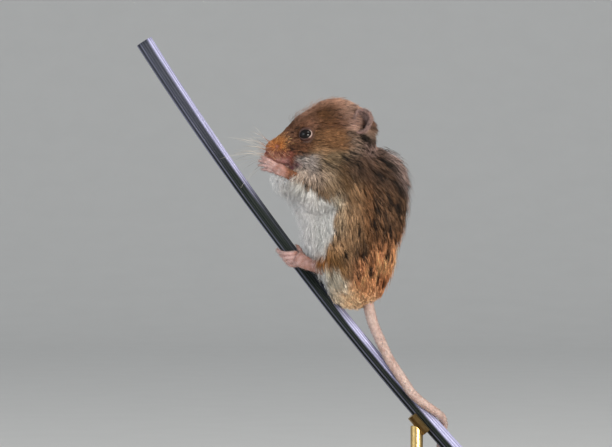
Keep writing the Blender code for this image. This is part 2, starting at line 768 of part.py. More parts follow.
def main():
    clear_scene()
    stem = make_stem()
    base, rod = make_stand()
    feet = [make_hind_foot(side) for side in (-1, 1)]
    for foot in feet:
        combine(foot, "DIFFERENCE", [grown(stem)])
    thighs = [make_thigh(side) for side in (-1, 1)]
    for thigh in thighs:
        combine(thigh, "DIFFERENCE", [grown(foot) for foot in feet] + [grown(stem)])

    torso = make_torso()
    whole = combine(torso, "UNION", [make_head()])
    head = bpy.data.objects.new("head", whole.data.copy())
    bpy.context.scene.collection.objects.link(head)
    combine(head, "DIFFERENCE", [slab("below", NECK_CUT, -1)])
    combine(torso, "DIFFERENCE", [slab("above", NECK_CUT, 1)])
    add_face(head)

    arms, hands = zip(*(make_foreleg(side, torso, head) for side in (-1, 1)))
    ears = [make_ear(side, head, torso) for side in (-1, 1)]
    eyes = [make_eye(side) for side in (-1, 1)]
    tail = make_tail(torso)
    rooms = [make_thigh(side, GAP) for side in (-1, 1)]
    combine(torso, "DIFFERENCE", rooms + [grown(part) for part in (*feet, stem)])

    finished = {
        "fur": [head, torso, *thighs],
        "bare_skin": [*ears, *feet, *arms, *hands, *tail],
        "eye": eyes,
        "stem": [stem],
        "base_wood": [base],
        "rod_brass": [rod],
    }
    for finish, parts in finished.items():
        made = material(finish)
        for part in parts:
            part.data.materials.clear()
            part.data.materials.append(made)


main()
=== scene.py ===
import math

import bpy
import numpy as np
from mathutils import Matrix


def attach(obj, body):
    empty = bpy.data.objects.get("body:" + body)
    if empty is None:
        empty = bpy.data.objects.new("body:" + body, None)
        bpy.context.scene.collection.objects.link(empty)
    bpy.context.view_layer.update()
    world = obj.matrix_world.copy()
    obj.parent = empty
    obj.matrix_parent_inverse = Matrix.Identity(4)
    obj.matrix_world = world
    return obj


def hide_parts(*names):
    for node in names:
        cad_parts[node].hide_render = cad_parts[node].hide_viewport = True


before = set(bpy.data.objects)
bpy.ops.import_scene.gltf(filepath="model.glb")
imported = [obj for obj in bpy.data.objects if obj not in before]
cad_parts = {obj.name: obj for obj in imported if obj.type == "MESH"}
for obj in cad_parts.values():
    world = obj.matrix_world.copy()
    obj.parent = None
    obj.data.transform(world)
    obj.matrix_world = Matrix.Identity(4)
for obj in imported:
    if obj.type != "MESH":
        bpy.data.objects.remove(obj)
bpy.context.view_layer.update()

# Camera
# A long lens at the mouse's own height, looking square at its left side. One millimetre at the
# stem's plane is PIXELS_PER_MM pixels wide.
MM = 0.001
IMAGE = (612, 447)
PIXELS_PER_MM = 5.2
# The picture's column for the stand's middle, and its row for the surface that the stand rests on.
X_ZERO = 340.0
Z_ZERO = 525.0
LENS = 200.0
SENSOR = 36.0

camera_data = bpy.data.cameras.new("camera")
camera_data.lens = LENS
camera_data.sensor_width = SENSOR
camera_data.clip_start = 0.01
camera_data.clip_end = 20.0
camera = bpy.data.objects.new("camera", camera_data)
view_width = IMAGE[0] / PIXELS_PER_MM * MM
camera.location = (
    (IMAGE[0] / 2 - X_ZERO) / PIXELS_PER_MM * MM,
    -view_width * LENS / SENSOR,
    (Z_ZERO - IMAGE[1] / 2) / PIXELS_PER_MM * MM,
)
camera.rotation_euler = (math.radians(90.0), 0.0, 0.0)
bpy.context.scene.collection.objects.link(camera)
bpy.context.scene.camera = camera
bpy.context.scene.view_settings.view_transform = "Standard"

# Floor and light
# A studio sweep: a pale floor that curves up into a wall far behind the model, lit by a soft box
# above on the right, a larger one low on the left, a small one near the floor, and a pale sky.
def new_material(name):
    """A material and its Principled shader."""
    made = bpy.data.materials.new(name)
    made.use_nodes = True
    return made, made.node_tree.nodes["Principled BSDF"]


def node(material, kind, **settings):
    """A node of this kind in the material, with its settings, or its sockets by name, set."""
    made = material.node_tree.nodes.new(kind)
    for name, value in settings.items():
        if name in made.inputs:
            made.inputs[name].default_value = value
        else:
            setattr(made, name, value)
    return made


def wire(material, start, end):
    """A link from one socket to another."""
    material.node_tree.links.new(start, end)


def ramp(material, factor, stops):
    """A colour ramp, read at factor, through these (place, colour) stops."""
    made = material.node_tree.nodes.new("ShaderNodeValToRGB")
    elements = made.color_ramp.elements
    while len(elements) < len(stops):
        elements.new(0.5)
    for element, (place, colour) in zip(elements, stops):
        element.position = place
        element.color = (*colour, 1.0)
    wire(material, factor, made.inputs["Fac"])
    return made.outputs["Color"]


def speckle(material, stops, stretch=None, place=None, **settings):
    """Noise and the colours that a ramp gives it, by the piece's own coordinates or by place.

    Given a stretch, the coordinates are multiplied by it first."""
    if place is None:
        place = node(material, "ShaderNodeTexCoord").outputs["Object"]
    if stretch is not None:
        stretched = node(material, "ShaderNodeMapping", Scale=stretch)
        wire(material, place, stretched.inputs["Vector"])
        place = stretched.outputs["Vector"]
    noise = node(material, "ShaderNodeTexNoise", **settings)
    wire(material, place, noise.inputs["Vector"])
    return noise.outputs["Fac"], ramp(material, noise.outputs["Fac"], stops)


def attribute(material, name, output="Fac"):
    """What the piece's own attribute says at each place."""
    return node(material, "ShaderNodeAttribute", attribute_name=name).outputs[output]


def feed(material, socket, value):
    """Links the value to the socket if it is a socket too, or else sets the socket to it."""
    if isinstance(value, bpy.types.NodeSocket):
        wire(material, value, socket)
    else:
        socket.default_value = value


def mixed(material, share, first, second, kind="MIX"):
    """The first colour moved to the second by share, or multiplied by it. Each is a socket or a value."""
    made = node(material, "ShaderNodeMix", data_type="RGBA", blend_type=kind)
    for name, value in (("Factor", share), ("A", first), ("B", second)):
        feed(material, made.inputs[name], value)
    return made.outputs["Result"]


def dress(material, shader, colour, **sockets):
    """Gives the shader its colour, and each socket named, with _ for a space, its own value."""
    wire(material, colour, shader.inputs["Base Color"])
    for name, value in sockets.items():
        shader.inputs[name.replace("_", " ")].default_value = value


def bump(material, shader, height, strength, distance):
    """Raises the surface by height, in shading alone, by this strength and distance in metres."""
    made = node(material, "ShaderNodeBump", Strength=strength, Distance=distance)
    wire(material, height, made.inputs["Height"])
    wire(material, made.outputs["Normal"], shader.inputs["Normal"])


def mesh_piece(name, points, faces):
    """An object of these points, in millimetres, and faces, an array with three or four corners each."""
    points = np.asarray(points, np.float64) * MM
    faces = np.asarray(faces, np.int32)
    mesh = bpy.data.meshes.new(name)
    mesh.vertices.add(len(points))
    mesh.vertices.foreach_set("co", points.astype(np.float32).ravel())
    mesh.loops.add(faces.size)
    mesh.loops.foreach_set("vertex_index", faces.ravel())
    mesh.polygons.add(len(faces))
    mesh.polygons.foreach_set("loop_start", np.arange(0, faces.size, faces.shape[1], dtype=np.int32))
    mesh.update(calc_edges=True)
    mesh.shade_smooth()
    obj = bpy.data.objects.new(name, mesh)
    bpy.context.scene.collection.objects.link(obj)
    return obj


def grid_faces(rows, columns, closed):
    """The quads of a grid of rows by columns of points. A closed grid joins its last column to its first."""
    row, column = np.meshgrid(
        np.arange(rows - 1), np.arange(columns if closed else columns - 1), indexing="ij"
    )
    after = (column + 1) % columns
    corners = (
        row * columns + column,
        row * columns + after,
        (row + 1) * columns + after,
        (row + 1) * columns + column,
    )
    return np.stack([corner.ravel() for corner in corners], axis=1)


FLOOR_WIDTH = 6000.0
FLOOR_FRONT = -900.0
FLOOR_BACK = 900.0
SWEEP_RADIUS = 700.0
SWEEP_STEPS = 24
WALL_TOP = 2600.0
PAPER_STOPS = [(0.3, (0.665, 0.665, 0.650)), (0.7, (0.68, 0.68, 0.665))]
MOUSE_MIDDLE = (0.0, 0.0, 0.06)

turn = np.linspace(0.0, math.pi / 2, SWEEP_STEPS)
profile = np.vstack(
    [
        [[FLOOR_FRONT, 0.0]],
        np.stack([FLOOR_BACK + SWEEP_RADIUS * np.sin(turn), SWEEP_RADIUS * (1 - np.cos(turn))], 1),
        [[FLOOR_BACK + SWEEP_RADIUS, WALL_TOP]],
    ]
)
across = np.array([-FLOOR_WIDTH / 2, FLOOR_WIDTH / 2])
sweep_points = np.stack(
    [
        np.broadcast_to(across, (len(profile), 2)),
        np.broadcast_to(profile[:, :1], (len(profile), 2)),
        np.broadcast_to(profile[:, 1:], (len(profile), 2)),
    ],
    axis=-1,
)
floor = mesh_piece("floor", sweep_points.reshape(-1, 3), grid_faces(len(profile), 2, False))
paper, paper_shader = new_material("floor_paper")
_, paper_colour = speckle(paper, PAPER_STOPS, Scale=60.0, Detail=3.0, Roughness=0.5)
dress(paper, paper_shader, paper_colour, Roughness=0.9)
floor.data.materials.append(paper)


def soft_box(name, place, size, power, colour):
    """A square area light at this place that faces the middle of the mouse."""
    data = bpy.data.lights.new(name, "AREA")
    data.energy = power
    data.size = size
    data.color = colour
    obj = bpy.data.objects.new(name, data)
    obj.location = place
    aim = np.array(MOUSE_MIDDLE) - np.array(place)
    aim /= np.linalg.norm(aim)
    obj.rotation_euler = (math.acos(-aim[2]), 0.0, math.atan2(-aim[0], aim[1]))
    bpy.context.scene.collection.objects.link(obj)


soft_box("key_light", (0.45, -0.45, 0.65), 0.35, 2.9, (1.0, 0.97, 0.92))
soft_box("fill_light", (-0.6, -0.5, 0.16), 0.5, 2.8, (0.92, 0.96, 1.0))
soft_box("low_light", (0.26, -0.42, 0.02), 0.16, 2.8, (1.0, 0.93, 0.84))
world = bpy.data.worlds.new("sky")
world.use_nodes = True
sky = world.node_tree.nodes["Background"]
sky.inputs["Color"].default_value = (0.93, 0.96, 1.0, 1.0)
sky.inputs["Strength"].default_value = 0.5
bpy.context.scene.world = world

# Display stand
# The base is a block of dark lacquered wood with its edges rounded over, and the rod is turned
# brass with a half-pipe cradle soldered on top. Both are the CAD solids with their finish.
GRAIN_STRETCH = (40.0, 600.0, 600.0)
WOOD_STOPS = [(0.3, (0.035, 0.016, 0.008)), (0.7, (0.11, 0.055, 0.028))]
BRASS_STOPS = [(0.3, (0.52, 0.36, 0.13)), (0.7, (0.68, 0.50, 0.22))]

wood, wood_shader = new_material("base_wood")
grain, wood_colour = speckle(
    wood, WOOD_STOPS, GRAIN_STRETCH, Scale=1.0, Detail=8.0, Roughness=0.6, Distortion=0.6
)
dress(wood, wood_shader, wood_colour, Roughness=0.32)
bump(wood, wood_shader, grain, 0.15, 0.0002)

brass, brass_shader = new_material("rod_brass")
turned, brass_colour = speckle(brass, BRASS_STOPS, Scale=900.0, Detail=3.0)
dress(brass, brass_shader, brass_colour, Metallic=1.0, Roughness=0.32)
bump(brass, brass_shader, turned, 0.1, 0.0001)
for name, finish in (("stand_base", wood), ("stand_rod", brass)):
    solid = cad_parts[name]
    solid.data.materials.clear()
    solid.data.materials.append(finish)

# Stem
# A dry flower stalk on one gentle arc, with ribs and grooves down its length and fine fibres
# between them. It is grey-green, with a painted lilac highlight on the upper side where the sun falls,
# fading to painted shade beside the mouse.
STEM_GRIP = (-9.12, 51.95)
STEM_LEAN = math.radians(37.24)
STEM_BEND = 591.5
STEM_TOP = -50.0
STEM_END = 58.0
STEM_RADIUS = 1.38
STEM_SWELL = 0.0055
STEM_SWELL_START = 5.0
STEM_RIBS = 18
RIB_DEPTH = 0.1
STEM_RINGS = 110
STEM_SIDES = 144
# The pale lines along the edges: the angle round the stem and the strength of each.
EDGE_LINES = ((73.0, 1.0), (33.0, 0.25))
EDGE_LINE_WIDTH = 5.0
GREEN_STOPS = [(0.0, (0.026, 0.034, 0.029)), (0.35, (0.014, 0.019, 0.017)), (1.0, (0.006, 0.009, 0.008))]
# The colours of the painted sunlit highlight and of the pale lines, lighter on the ribs.
SUN_HIGHLIGHT_STOPS = [(0.0, (0.52, 0.52, 0.74)), (0.5, (0.42, 0.42, 0.62)), (1.0, (0.26, 0.26, 0.40))]
STREAK_STOPS = [(0.25, (0.55, 0.55, 0.55)), (0.75, (1.35, 1.35, 1.35))]
STREAK_STRETCH = (3.2, 3.2, 0.12)


def smooth_step(value, low, high):
    """0 below low, 1 above high and an S-curve between them."""
    share = np.clip((value - low) / (high - low), 0.0, 1.0)
    return share * share * (3 - 2 * share)


def stem_radius(length):
    """The stem is thinnest at the grip and swells slowly towards both ends."""
    away = np.sqrt(np.square(length) + STEM_SWELL_START**2) - STEM_SWELL_START
    return STEM_RADIUS + STEM_SWELL * away


def on_stem(length, angle, distance):
    """The point at this length down the stem, this angle round it and this far from its centre line.

    Angle 0 is the side that faces -Y, and 90 degrees is the side under the slope."""
    lean = STEM_LEAN + np.asarray(length) / STEM_BEND
    angle = np.radians(angle)
    x = STEM_GRIP[0] + STEM_BEND * (math.cos(STEM_LEAN) - np.cos(lean))
    z = STEM_GRIP[1] - STEM_BEND * (np.sin(lean) - math.sin(STEM_LEAN))
    under = distance * np.sin(angle)
    return np.stack(
        [x - np.cos(lean) * under, -distance * np.cos(angle), z - np.sin(lean) * under], axis=-1
    )


def point_layer(piece, name, kind, values):
    """An attribute of this kind on the piece's points."""
    field = {"FLOAT": "value", "FLOAT_VECTOR": "vector", "FLOAT_COLOR": "color"}[kind]
    layer = piece.data.attributes.new(name, kind, "POINT")
    layer.data.foreach_set(field, np.asarray(values).astype(np.float32).ravel())


def set_uv(mesh, name, point_uv):
    """A UV map that gives each corner its point's (u, v)."""
    corner = np.empty(len(mesh.loops), np.int32)
    mesh.loops.foreach_get("vertex_index", corner)
    layer = mesh.uv_layers.new(name=name)
    layer.data.foreach_set("uv", np.asarray(point_uv, np.float32)[corner].ravel())


def capped(points, rows, columns):
    """The points and triangles of a grid of closed rings, each end closed by a fan to its middle."""
    quads = grid_faces(rows, columns, True)
    first, last = points[:columns].mean(0), points[-columns:].mean(0)
    around = np.arange(columns)
    after = (around + 1) % columns
    start, end = len(points), len(points) + 1
    low = np.stack([np.full(columns, start), after, around], axis=1)
    base = (rows - 1) * columns
    high = np.stack([np.full(columns, end), base + around, base + after], axis=1)
    halves = np.vstack([quads[:, [0, 1, 2]], quads[:, [0, 2, 3]], low, high])
    return np.vstack([points, first, last]), halves


length = np.linspace(STEM_TOP, STEM_END, STEM_RINGS)[:, None]
angle = np.linspace(0.0, 360.0, STEM_SIDES, endpoint=False)[None, :]
around = np.radians(angle)
rib = 0.5 - 0.5 * np.cos(around * STEM_RIBS + 0.5 * np.sin(around * 3))
fibre = 0.015 * np.sin(around * 25 + length * 0.09)
radius = stem_radius(length) - RIB_DEPTH * rib * (0.8 + 0.2 * np.cos(length * 0.21)) + fibre
stem_points = on_stem(length + 0 * angle, angle + 0 * length, radius).reshape(-1, 3)
stem_points, stem_faces = capped(stem_points, STEM_RINGS, STEM_SIDES)
stem = mesh_piece("stalk", stem_points, stem_faces[:, ::-1])
pale_lines = sum(
    strength * np.exp(-(((angle - at) / EDGE_LINE_WIDTH) ** 2)) for at, strength in EDGE_LINES
)
# Painted light: a lilac highlight on the upper side, where the sun falls, a little brighter towards the top.
# Painted shade dims it beside the mouse. The pale lines along the edges are added to it.
sun_highlight = smooth_step(-np.sin(np.radians(angle - 20.0)) + 0.25 * smooth_step(length, 8.0, 18.0), 0.62, 0.84)
mouse_shade = 1 - 0.95 * np.exp(-(((length + 1.3) / 16.0) ** 6))
highlight_and_lines = sun_highlight * mouse_shade + 0.75 * pale_lines + 0.10 * smooth_step(-length, 16.0, 34.0)
groove = rib * 0.8 + 0.2 + 0 * length
point_layer(stem, "groove", "FLOAT", np.append(groove.ravel(), [0.5, 0.5]))
point_layer(stem, "highlight_and_lines", "FLOAT", np.append(highlight_and_lines.ravel(), [0.5, 0.5]))
straight = np.stack(
    [
        STEM_RADIUS * np.cos(around) + 0 * length,
        STEM_RADIUS * np.sin(around) + 0 * length,
        length + 0 * angle,
    ],
    axis=-1,
).reshape(-1, 3)
point_layer(
    stem, "straight", "FLOAT_VECTOR", np.vstack([straight, (0.0, 0.0, STEM_TOP), (0.0, 0.0, STEM_END)])
)

stalk, stalk_shader = new_material("stem")
fibres, streak = speckle(
    stalk, STREAK_STOPS, STREAK_STRETCH, attribute(stalk, "straight", "Vector"),
    Scale=1.0, Detail=5.0, Roughness=0.65,
)
grooves = attribute(stalk, "groove")
green, highlight_colour = ramp(stalk, grooves, GREEN_STOPS), ramp(stalk, grooves, SUN_HIGHLIGHT_STOPS)
both = mixed(stalk, attribute(stalk, "highlight_and_lines"), green, highlight_colour)
shaded = mixed(stalk, 1.0, both, streak, "MULTIPLY")
dress(stalk, stalk_shader, shaded, Roughness=0.5, Specular_IOR_Level=0.12)
bump(stalk, stalk_shader, fibres, 0.5, 0.00012)
stem.data.materials.append(stalk)
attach(stem, "root")
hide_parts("stem")

# Skin of the trunk and head
# One smooth form under the coat: a trunk with a thigh and a shoulder on each side, a neck, and a
# head with whisker pads, a small nose, a chin and lips. It lies inside the coat's tips by its depth.
TORSO_SECTIONS = (
    (-1.9, 71.0, 5.0, 16.0, 3.6, 0.20),
    (-1.9, 70.0, 9.4, 17.0, 5.8, 0.30),
    (-0.5, 68.5, 11.2, 13.0, 6.9, 0.40),
    (0.9, 66.6, 11.6, 10.5, 7.6, 0.42),
    (1.6, 64.0, 11.6, 7.6, 8.2, 0.36),
    (2.3, 61.1, 10.8, 5.0, 8.7, 0.28),
    (2.5, 58.1, 10.2, 3.0, 9.1, 0.20),
    (2.2, 54.8, 9.3, 0.0, 9.3, 0.12),
    (2.4, 51.5, 8.6, -1.0, 9.1, 0.06),
    (2.8, 48.0, 7.0, -2.0, 8.0, 0.0),
    (2.65, 44.6, 5.15, 0.0, 6.1, 0.0),
    (1.8, 42.3, 2.7, 3.0, 3.4, 0.0),
)
BODY_COAT = 1.45
RUMP_LIFT = 1.0
THIGH_AT = (1.2, 5.6, 50.4)
THIGH_RADII = (5.0, 2.6, 4.2)
THIGH_RISE = math.radians(27.0)
SHOULDER_AT = (-2.6, 5.0, 64.4)
SHOULDER_RADII = (4.4, 2.4, 3.6)
SHOULDER_RISE = -0.5
NECK_AT = (-1.6, 0.0, 68.4)
NECK_RADII = (7.6, 5.9, 4.2)
BIB_AT = (-8.3, 0.0, 67.1)
BIB_RADII = (3.5, 3.2, 3.2)
CHEST_AT = (-6.3, 0.0, 64.9)
CHEST_RADII = (2.7, 4.4, 3.0)
SLEEVE_AT = (-6.0, 4.4, 65.3)
SLEEVE_RADII = (3.1, 1.5, 1.45)
SLEEVE_RISE = math.radians(36.0)
HEAD_SECTIONS = (
    (-14.1, 71.4, 1.2, -6.0, 1.2, 0.0),
    (-13.3, 71.55, 2.05, -8.0, 2.15, 0.05),
    (-12.0, 71.65, 2.6, -10.0, 2.95, 0.08),
    (-10.0, 72.0, 3.85, -12.0, 4.1, 0.12),
    (-7.7, 72.25, 5.7, -12.0, 5.2, 0.16),
    (-5.2, 72.55, 7.3, -11.0, 6.05, 0.18),
    (-2.3, 73.3, 8.25, -10.5, 6.55, 0.16),
    (0.5, 73.95, 8.2, -10.0, 6.6, 0.12),
    (3.1, 74.3, 6.9, -10.5, 6.0, 0.08),
    (5.2, 74.6, 4.6, -12.0, 4.4, 0.05),
)
HEAD_COAT = (0.16, 1.15)
PAD_AT = (-12.5, 1.35, 71.3)
PAD_RADII = (1.75, 1.25, 1.45)
PAD_RISE = 0.1
CHIN_AT = (-12.0, 0.0, 69.8)
CHIN_RADII = (1.7, 1.35, 0.95)
CHIN_RISE = 0.15
NOSE_AT = (-13.9, 0.0, 71.25)
NOSE_RADII = (0.74, 0.95, 0.66)
NOSTRIL_AT = (-14.46, 0.55, 71.15)
MOUTH_LINE = ((-14.25, 0.0, 70.45), (-13.5, 1.25, 70.1), (-12.3, 1.95, 69.85), (-10.9, 2.7, 69.6))
LIP_SWELL = 0.12
MOUTH_DEPTH = 0.32
NOSTRIL_DEPTH = 0.38
NOSTRIL_REACH = 0.26
FRONT_SWELL = 0.5
FACE_END = -9.0
CHEST_TOP = 68.6
SKIN_COLUMNS = 72
SKIN_VOXEL = 0.24
BODY_RELAXING = 40


def through(rows, steps):
    """Rows of numbers read from a smooth curve through the given rows, with this many steps each."""
    rows = np.asarray(rows, float)
    padded = np.vstack([2 * rows[0] - rows[1], rows, 2 * rows[-1] - rows[-2]])
    share = np.linspace(0.0, 1.0, steps, endpoint=False)[None, :, None]
    before, start, end, after = (padded[k : len(padded) - 3 + k, None] for k in range(4))
    curve = 0.5 * (
        2 * start
        + (end - before) * share
        + (2 * before - 5 * start + 4 * end - after) * share**2
        + (3 * start - before - 3 * end + after) * share**3
    )
    return np.vstack([curve.reshape(-1, rows.shape[1]), rows[-1:]])


def turns(count):
    """So many angles, evenly spread over a full turn."""
    return np.linspace(0.0, 2 * math.pi, count, endpoint=False)


def ellipsoid(centre, radii, rise=0.0, detail=(48, 24)):
    """The points and triangles of an ellipsoid whose long axis is turned about Y by rise."""
    across, down = detail
    polar = np.linspace(0.0, math.pi, down + 1)[1:-1, None]
    around = turns(across)[None, :]
    local = np.stack(
        [
            np.sin(polar) * np.cos(around),
            np.sin(polar) * np.sin(around),
            np.cos(polar) + 0 * around,
        ],
        axis=-1,
    ).reshape(-1, 3)
    local, faces = capped(local, down - 1, across)
    local[-2:] = ((0.0, 0.0, 1.0), (0.0, 0.0, -1.0))
    local = local * radii
    turned = np.stack(
        [
            local[:, 0] * math.cos(rise) + local[:, 2] * math.sin(rise),
            local[:, 1],
            -local[:, 0] * math.sin(rise) + local[:, 2] * math.cos(rise),
        ],
        axis=-1,
    )
    return turned + np.asarray(centre), faces[:, ::-1]


def joined(shapes):
    """The points and faces of several shapes as those of one, each shape's faces counted on."""
    starts = np.cumsum([0] + [len(points) for points, _ in shapes[:-1]])
    faces = np.vstack([faces + start for (_, faces), start in zip(shapes, starts)])
    return np.vstack([points for points, _ in shapes]), faces


def fuse(shapes, voxel, smoothing):
    """One closed surface round all the shapes, remeshed at this size and smoothed: (points, quads)."""
    rough = mesh_piece("rough", *joined(shapes))
    remesh = rough.modifiers.new("Fuse", "REMESH")
    remesh.mode = "VOXEL"
    remesh.voxel_size = voxel * MM
    smooth = rough.modifiers.new("Smooth", "SMOOTH")
    smooth.factor = 0.5
    smooth.iterations = smoothing
    bpy.context.view_layer.update()
    made = rough.evaluated_get(bpy.context.evaluated_depsgraph_get()).to_mesh()
    found = np.empty(len(made.vertices) * 3, np.float32)
    made.vertices.foreach_get("co", found)
    corners = np.empty(len(made.loops), np.int32)
    made.loops.foreach_get("vertex_index", corners)
    rough.to_mesh_clear()
    bpy.data.objects.remove(rough, do_unlink=True)
    return found.reshape(-1, 3).astype(float) / MM, corners.reshape(-1, 4)


def relaxed(points, quads, freedom, steps):
    """Points moved this many times towards the mean of their neighbours, each by its own freedom."""
    start, end = quads.ravel(), np.roll(quads, -1, axis=1).ravel()
    count = np.bincount(start, minlength=len(points))[:, None]
    for _ in range(steps):
        total = [np.bincount(start, points[end, axis], len(points)) for axis in range(3)]
        points = points + (np.stack(total, axis=1) / count - points) * freedom[:, None]
    return points


def mirrored(point, side):
    """The point on the left side (-Y) for side -1, or on the right side for side 1."""
    return (point[0], point[1] * side, point[2])


def head_coat(x):
    """The coat's depth on the head: a thin film on the nose that deepens towards the nape."""
    return HEAD_COAT[0] + (HEAD_COAT[1] - HEAD_COAT[0]) * smooth_step(x, -14.5, 2.0)


def distance_to_line(points, line):
    """Each point's distance to the nearest point of a finely stepped line."""
    line = through(line, 12)
    return np.linalg.norm(points[:, None] - line[None], axis=2).min(1)


turn = turns(SKIN_COLUMNS)[None, :]
x, z, depth, rise, width, narrow = (column[:, None] for column in through(TORSO_SECTIONS, 5).T)
z = z + RUMP_LIFT * smooth_step(47.0 - z, 0.0, 5.0)
inset = BODY_COAT * np.clip((71.6 - z) / 2.0, 0.3, 1.0)
depth, width, rise = np.maximum(depth - inset, 0.8), np.maximum(width - inset, 0.8), np.radians(rise)
trunk_rings = np.stack(
    [
        x + depth * np.cos(turn) * np.cos(rise),
        width * np.sin(turn) * (1 + narrow * np.cos(turn)),
        z + depth * np.cos(turn) * np.sin(rise),
    ],
    axis=-1,
)
trunk_points, trunk_faces = capped(trunk_rings.reshape(-1, 3), len(x), SKIN_COLUMNS)
x, z, height, lean, width, jowl = (column[:, None] for column in through(HEAD_SECTIONS, 6).T)
inset = head_coat(x)
height, width, lean = np.maximum(height - inset, 0.4), np.maximum(width - inset, 0.4), np.radians(lean)
head_rings = np.stack(
    [
        x + height * np.cos(turn) * np.sin(lean),
        width * np.sin(turn) * (1 - jowl * np.cos(turn)),
        z + height * np.cos(turn) * np.cos(lean),
    ],
    axis=-1,
)
body_shapes = [
    (trunk_points, trunk_faces[:, ::-1]),
    capped(head_rings.reshape(-1, 3), len(x), SKIN_COLUMNS),
    ellipsoid(NECK_AT, NECK_RADII),
    ellipsoid(BIB_AT, BIB_RADII),
    ellipsoid(CHEST_AT, CHEST_RADII),
    ellipsoid(NOSE_AT, NOSE_RADII),
    ellipsoid(CHIN_AT, CHIN_RADII, CHIN_RISE),
]
for side in (-1, 1):
    for place, radii, rise in (
        (THIGH_AT, THIGH_RADII, THIGH_RISE),
        (SHOULDER_AT, SHOULDER_RADII, SHOULDER_RISE),
        (SLEEVE_AT, SLEEVE_RADII, SLEEVE_RISE),
        (PAD_AT, PAD_RADII, PAD_RISE),
    ):
        body_shapes.append(ellipsoid(mirrored(place, side), radii, rise))
body_points, body_quads = fuse(body_shapes, SKIN_VOXEL, 4)
face = smooth_step(-body_points[:, 0], 5.0, 9.0) * smooth_step(body_points[:, 2], 67.4, CHEST_TOP)
body_points = relaxed(body_points, body_quads, 1 - face, BODY_RELAXING)

on_front = smooth_step(-body_points[:, 0] - 0.5, 0.0, 4.0) * smooth_step(68.5 - body_points[:, 2], 0.0, 2.0)
lengthwise = body_points - np.array([2.0, 0.0, 0.0])
lengthwise[:, 2] = 0.0
lengthwise /= np.linalg.norm(lengthwise, axis=1)[:, None]
body_points += lengthwise * (FRONT_SWELL * on_front)[:, None]

mouth = [mirrored(point, -1) for point in MOUTH_LINE[:0:-1]] + list(MOUTH_LINE)
on_face = np.flatnonzero((body_points[:, 0] < FACE_END) & (body_points[:, 2] > CHEST_TOP))
outward = body_points[on_face] - (-8.0, 0.0, 71.0)
outward /= np.linalg.norm(outward, axis=1)[:, None]
from_mouth = distance_to_line(body_points[on_face], mouth)
lips = LIP_SWELL * np.exp(-(((from_mouth - 0.45) / 0.25) ** 2))
pressed = lips - MOUTH_DEPTH * np.exp(-((from_mouth / 0.2) ** 2))
body_points[on_face] += outward * pressed[:, None]
for side in (-1, 1):
    apart = np.linalg.norm(body_points - mirrored(NOSTRIL_AT, side), axis=1)
    body_points[:, 0] += NOSTRIL_DEPTH * np.exp(-((apart / NOSTRIL_REACH) ** 2))

# Skin of the ears
# Thin rounded cups, laid back on the head and half hidden in its fur. Each has a rolled rim, a
# darker hollow, and a front edge folded in over it.
EAR_AT = (4.0, 5.75, 77.4)
EAR_FACES = (-0.5, 0.82, 0.28)
EAR_RADII = (2.0, 2.3)
EAR_DEPTH = 1.3
EAR_WALL = 0.26
EAR_FOLD = 0.7
EAR_COLUMNS = 48


def ear_shell(side):
    """The points and triangles of one ear: its outer bowl, its rim and its inner bowl.

    The front edge is folded in over the hollow, and the rim runs in shallow waves."""
    faces_out = np.array(mirrored(EAR_FACES, side))
    faces_out /= np.linalg.norm(faces_out)
    across = np.cross((0.0, 0.0, 1.0), faces_out)
    across /= np.linalg.norm(across)
    above = np.cross(faces_out, across)
    turn = turns(EAR_COLUMNS)
    wave = 1 + 0.04 * np.sin(turn * 3 + 0.6) + 0.02 * np.sin(turn * 5)
    shares = np.sin(np.linspace(0.12, math.pi / 2, 12))
    front = smooth_step(-across[0] * np.cos(turn) - 0.3 * np.sin(turn), 0.2, 1.0)
    rings = []
    for swell, sweep in ((EAR_WALL / 2, shares), (-EAR_WALL / 2, shares[::-1])):
        for share in sweep:
            depth = (EAR_DEPTH + swell) * math.sqrt(max(0.0, 1 - share**2)) - 0.25 * share**6
            fold = 1 - EAR_FOLD * 0.5 * front * share**4
            rings.append(
                np.array(mirrored(EAR_AT, side))
                - faces_out * depth
                + across * ((EAR_RADII[0] + swell) * share * np.cos(turn) * wave * fold)[:, None]
                + above * ((EAR_RADII[1] + swell) * share * np.sin(turn) * wave * fold)[:, None]
            )
    points, faces = capped(np.vstack(rings), len(rings), EAR_COLUMNS)
    return points, faces[:, ::-side]


# Skin of the forelegs and hands
# Each foreleg comes out of the shoulder's coat, bends up to the mouth and ends in a flat palm with
# four thin fingers. Bare pink skin, with pads under the fingers.
FORELEG_LINE = (
    (-3.6, 5.0, 63.2),
    (-6.1, 4.7, 65.1),
    (-8.0, 4.35, 66.4),
    (-9.4, 3.9, 67.15),
    (-10.6, 3.4, 67.8),
    (-11.7, 3.0, 68.35),
    (-12.5, 2.7, 68.75),
)
FORELEG_WIDTHS = (1.0, 0.95, 0.85, 0.8, 0.95, 1.15, 0.95)
FORELEG_DEPTHS = (0.95, 0.85, 0.75, 0.66, 0.68, 0.64, 0.5)
FINGERS = (
    ((-12.3, 2.75, 69.3), (-13.2, 2.95, 69.85), (-14.1, 2.8, 70.4), (-14.85, 2.15, 70.7)),
    ((-12.5, 2.7, 68.95), (-13.6, 2.75, 69.5), (-14.7, 2.4, 69.95), (-15.4, 1.6, 70.0)),
    ((-12.5, 2.6, 68.5), (-13.6, 2.45, 68.85), (-14.7, 2.0, 69.2), (-15.4, 1.2, 69.2)),
    ((-12.2, 2.4, 68.0), (-13.2, 2.1, 68.1), (-14.1, 1.75, 68.35), (-14.85, 1.0, 68.4)),
)
FINGER_RADIUS = 0.35
FINGER_TIP_RADIUS = 0.23
LIMB_SIDES = 24
DIGIT_SIDES = 12
HAND_VOXEL = 0.12


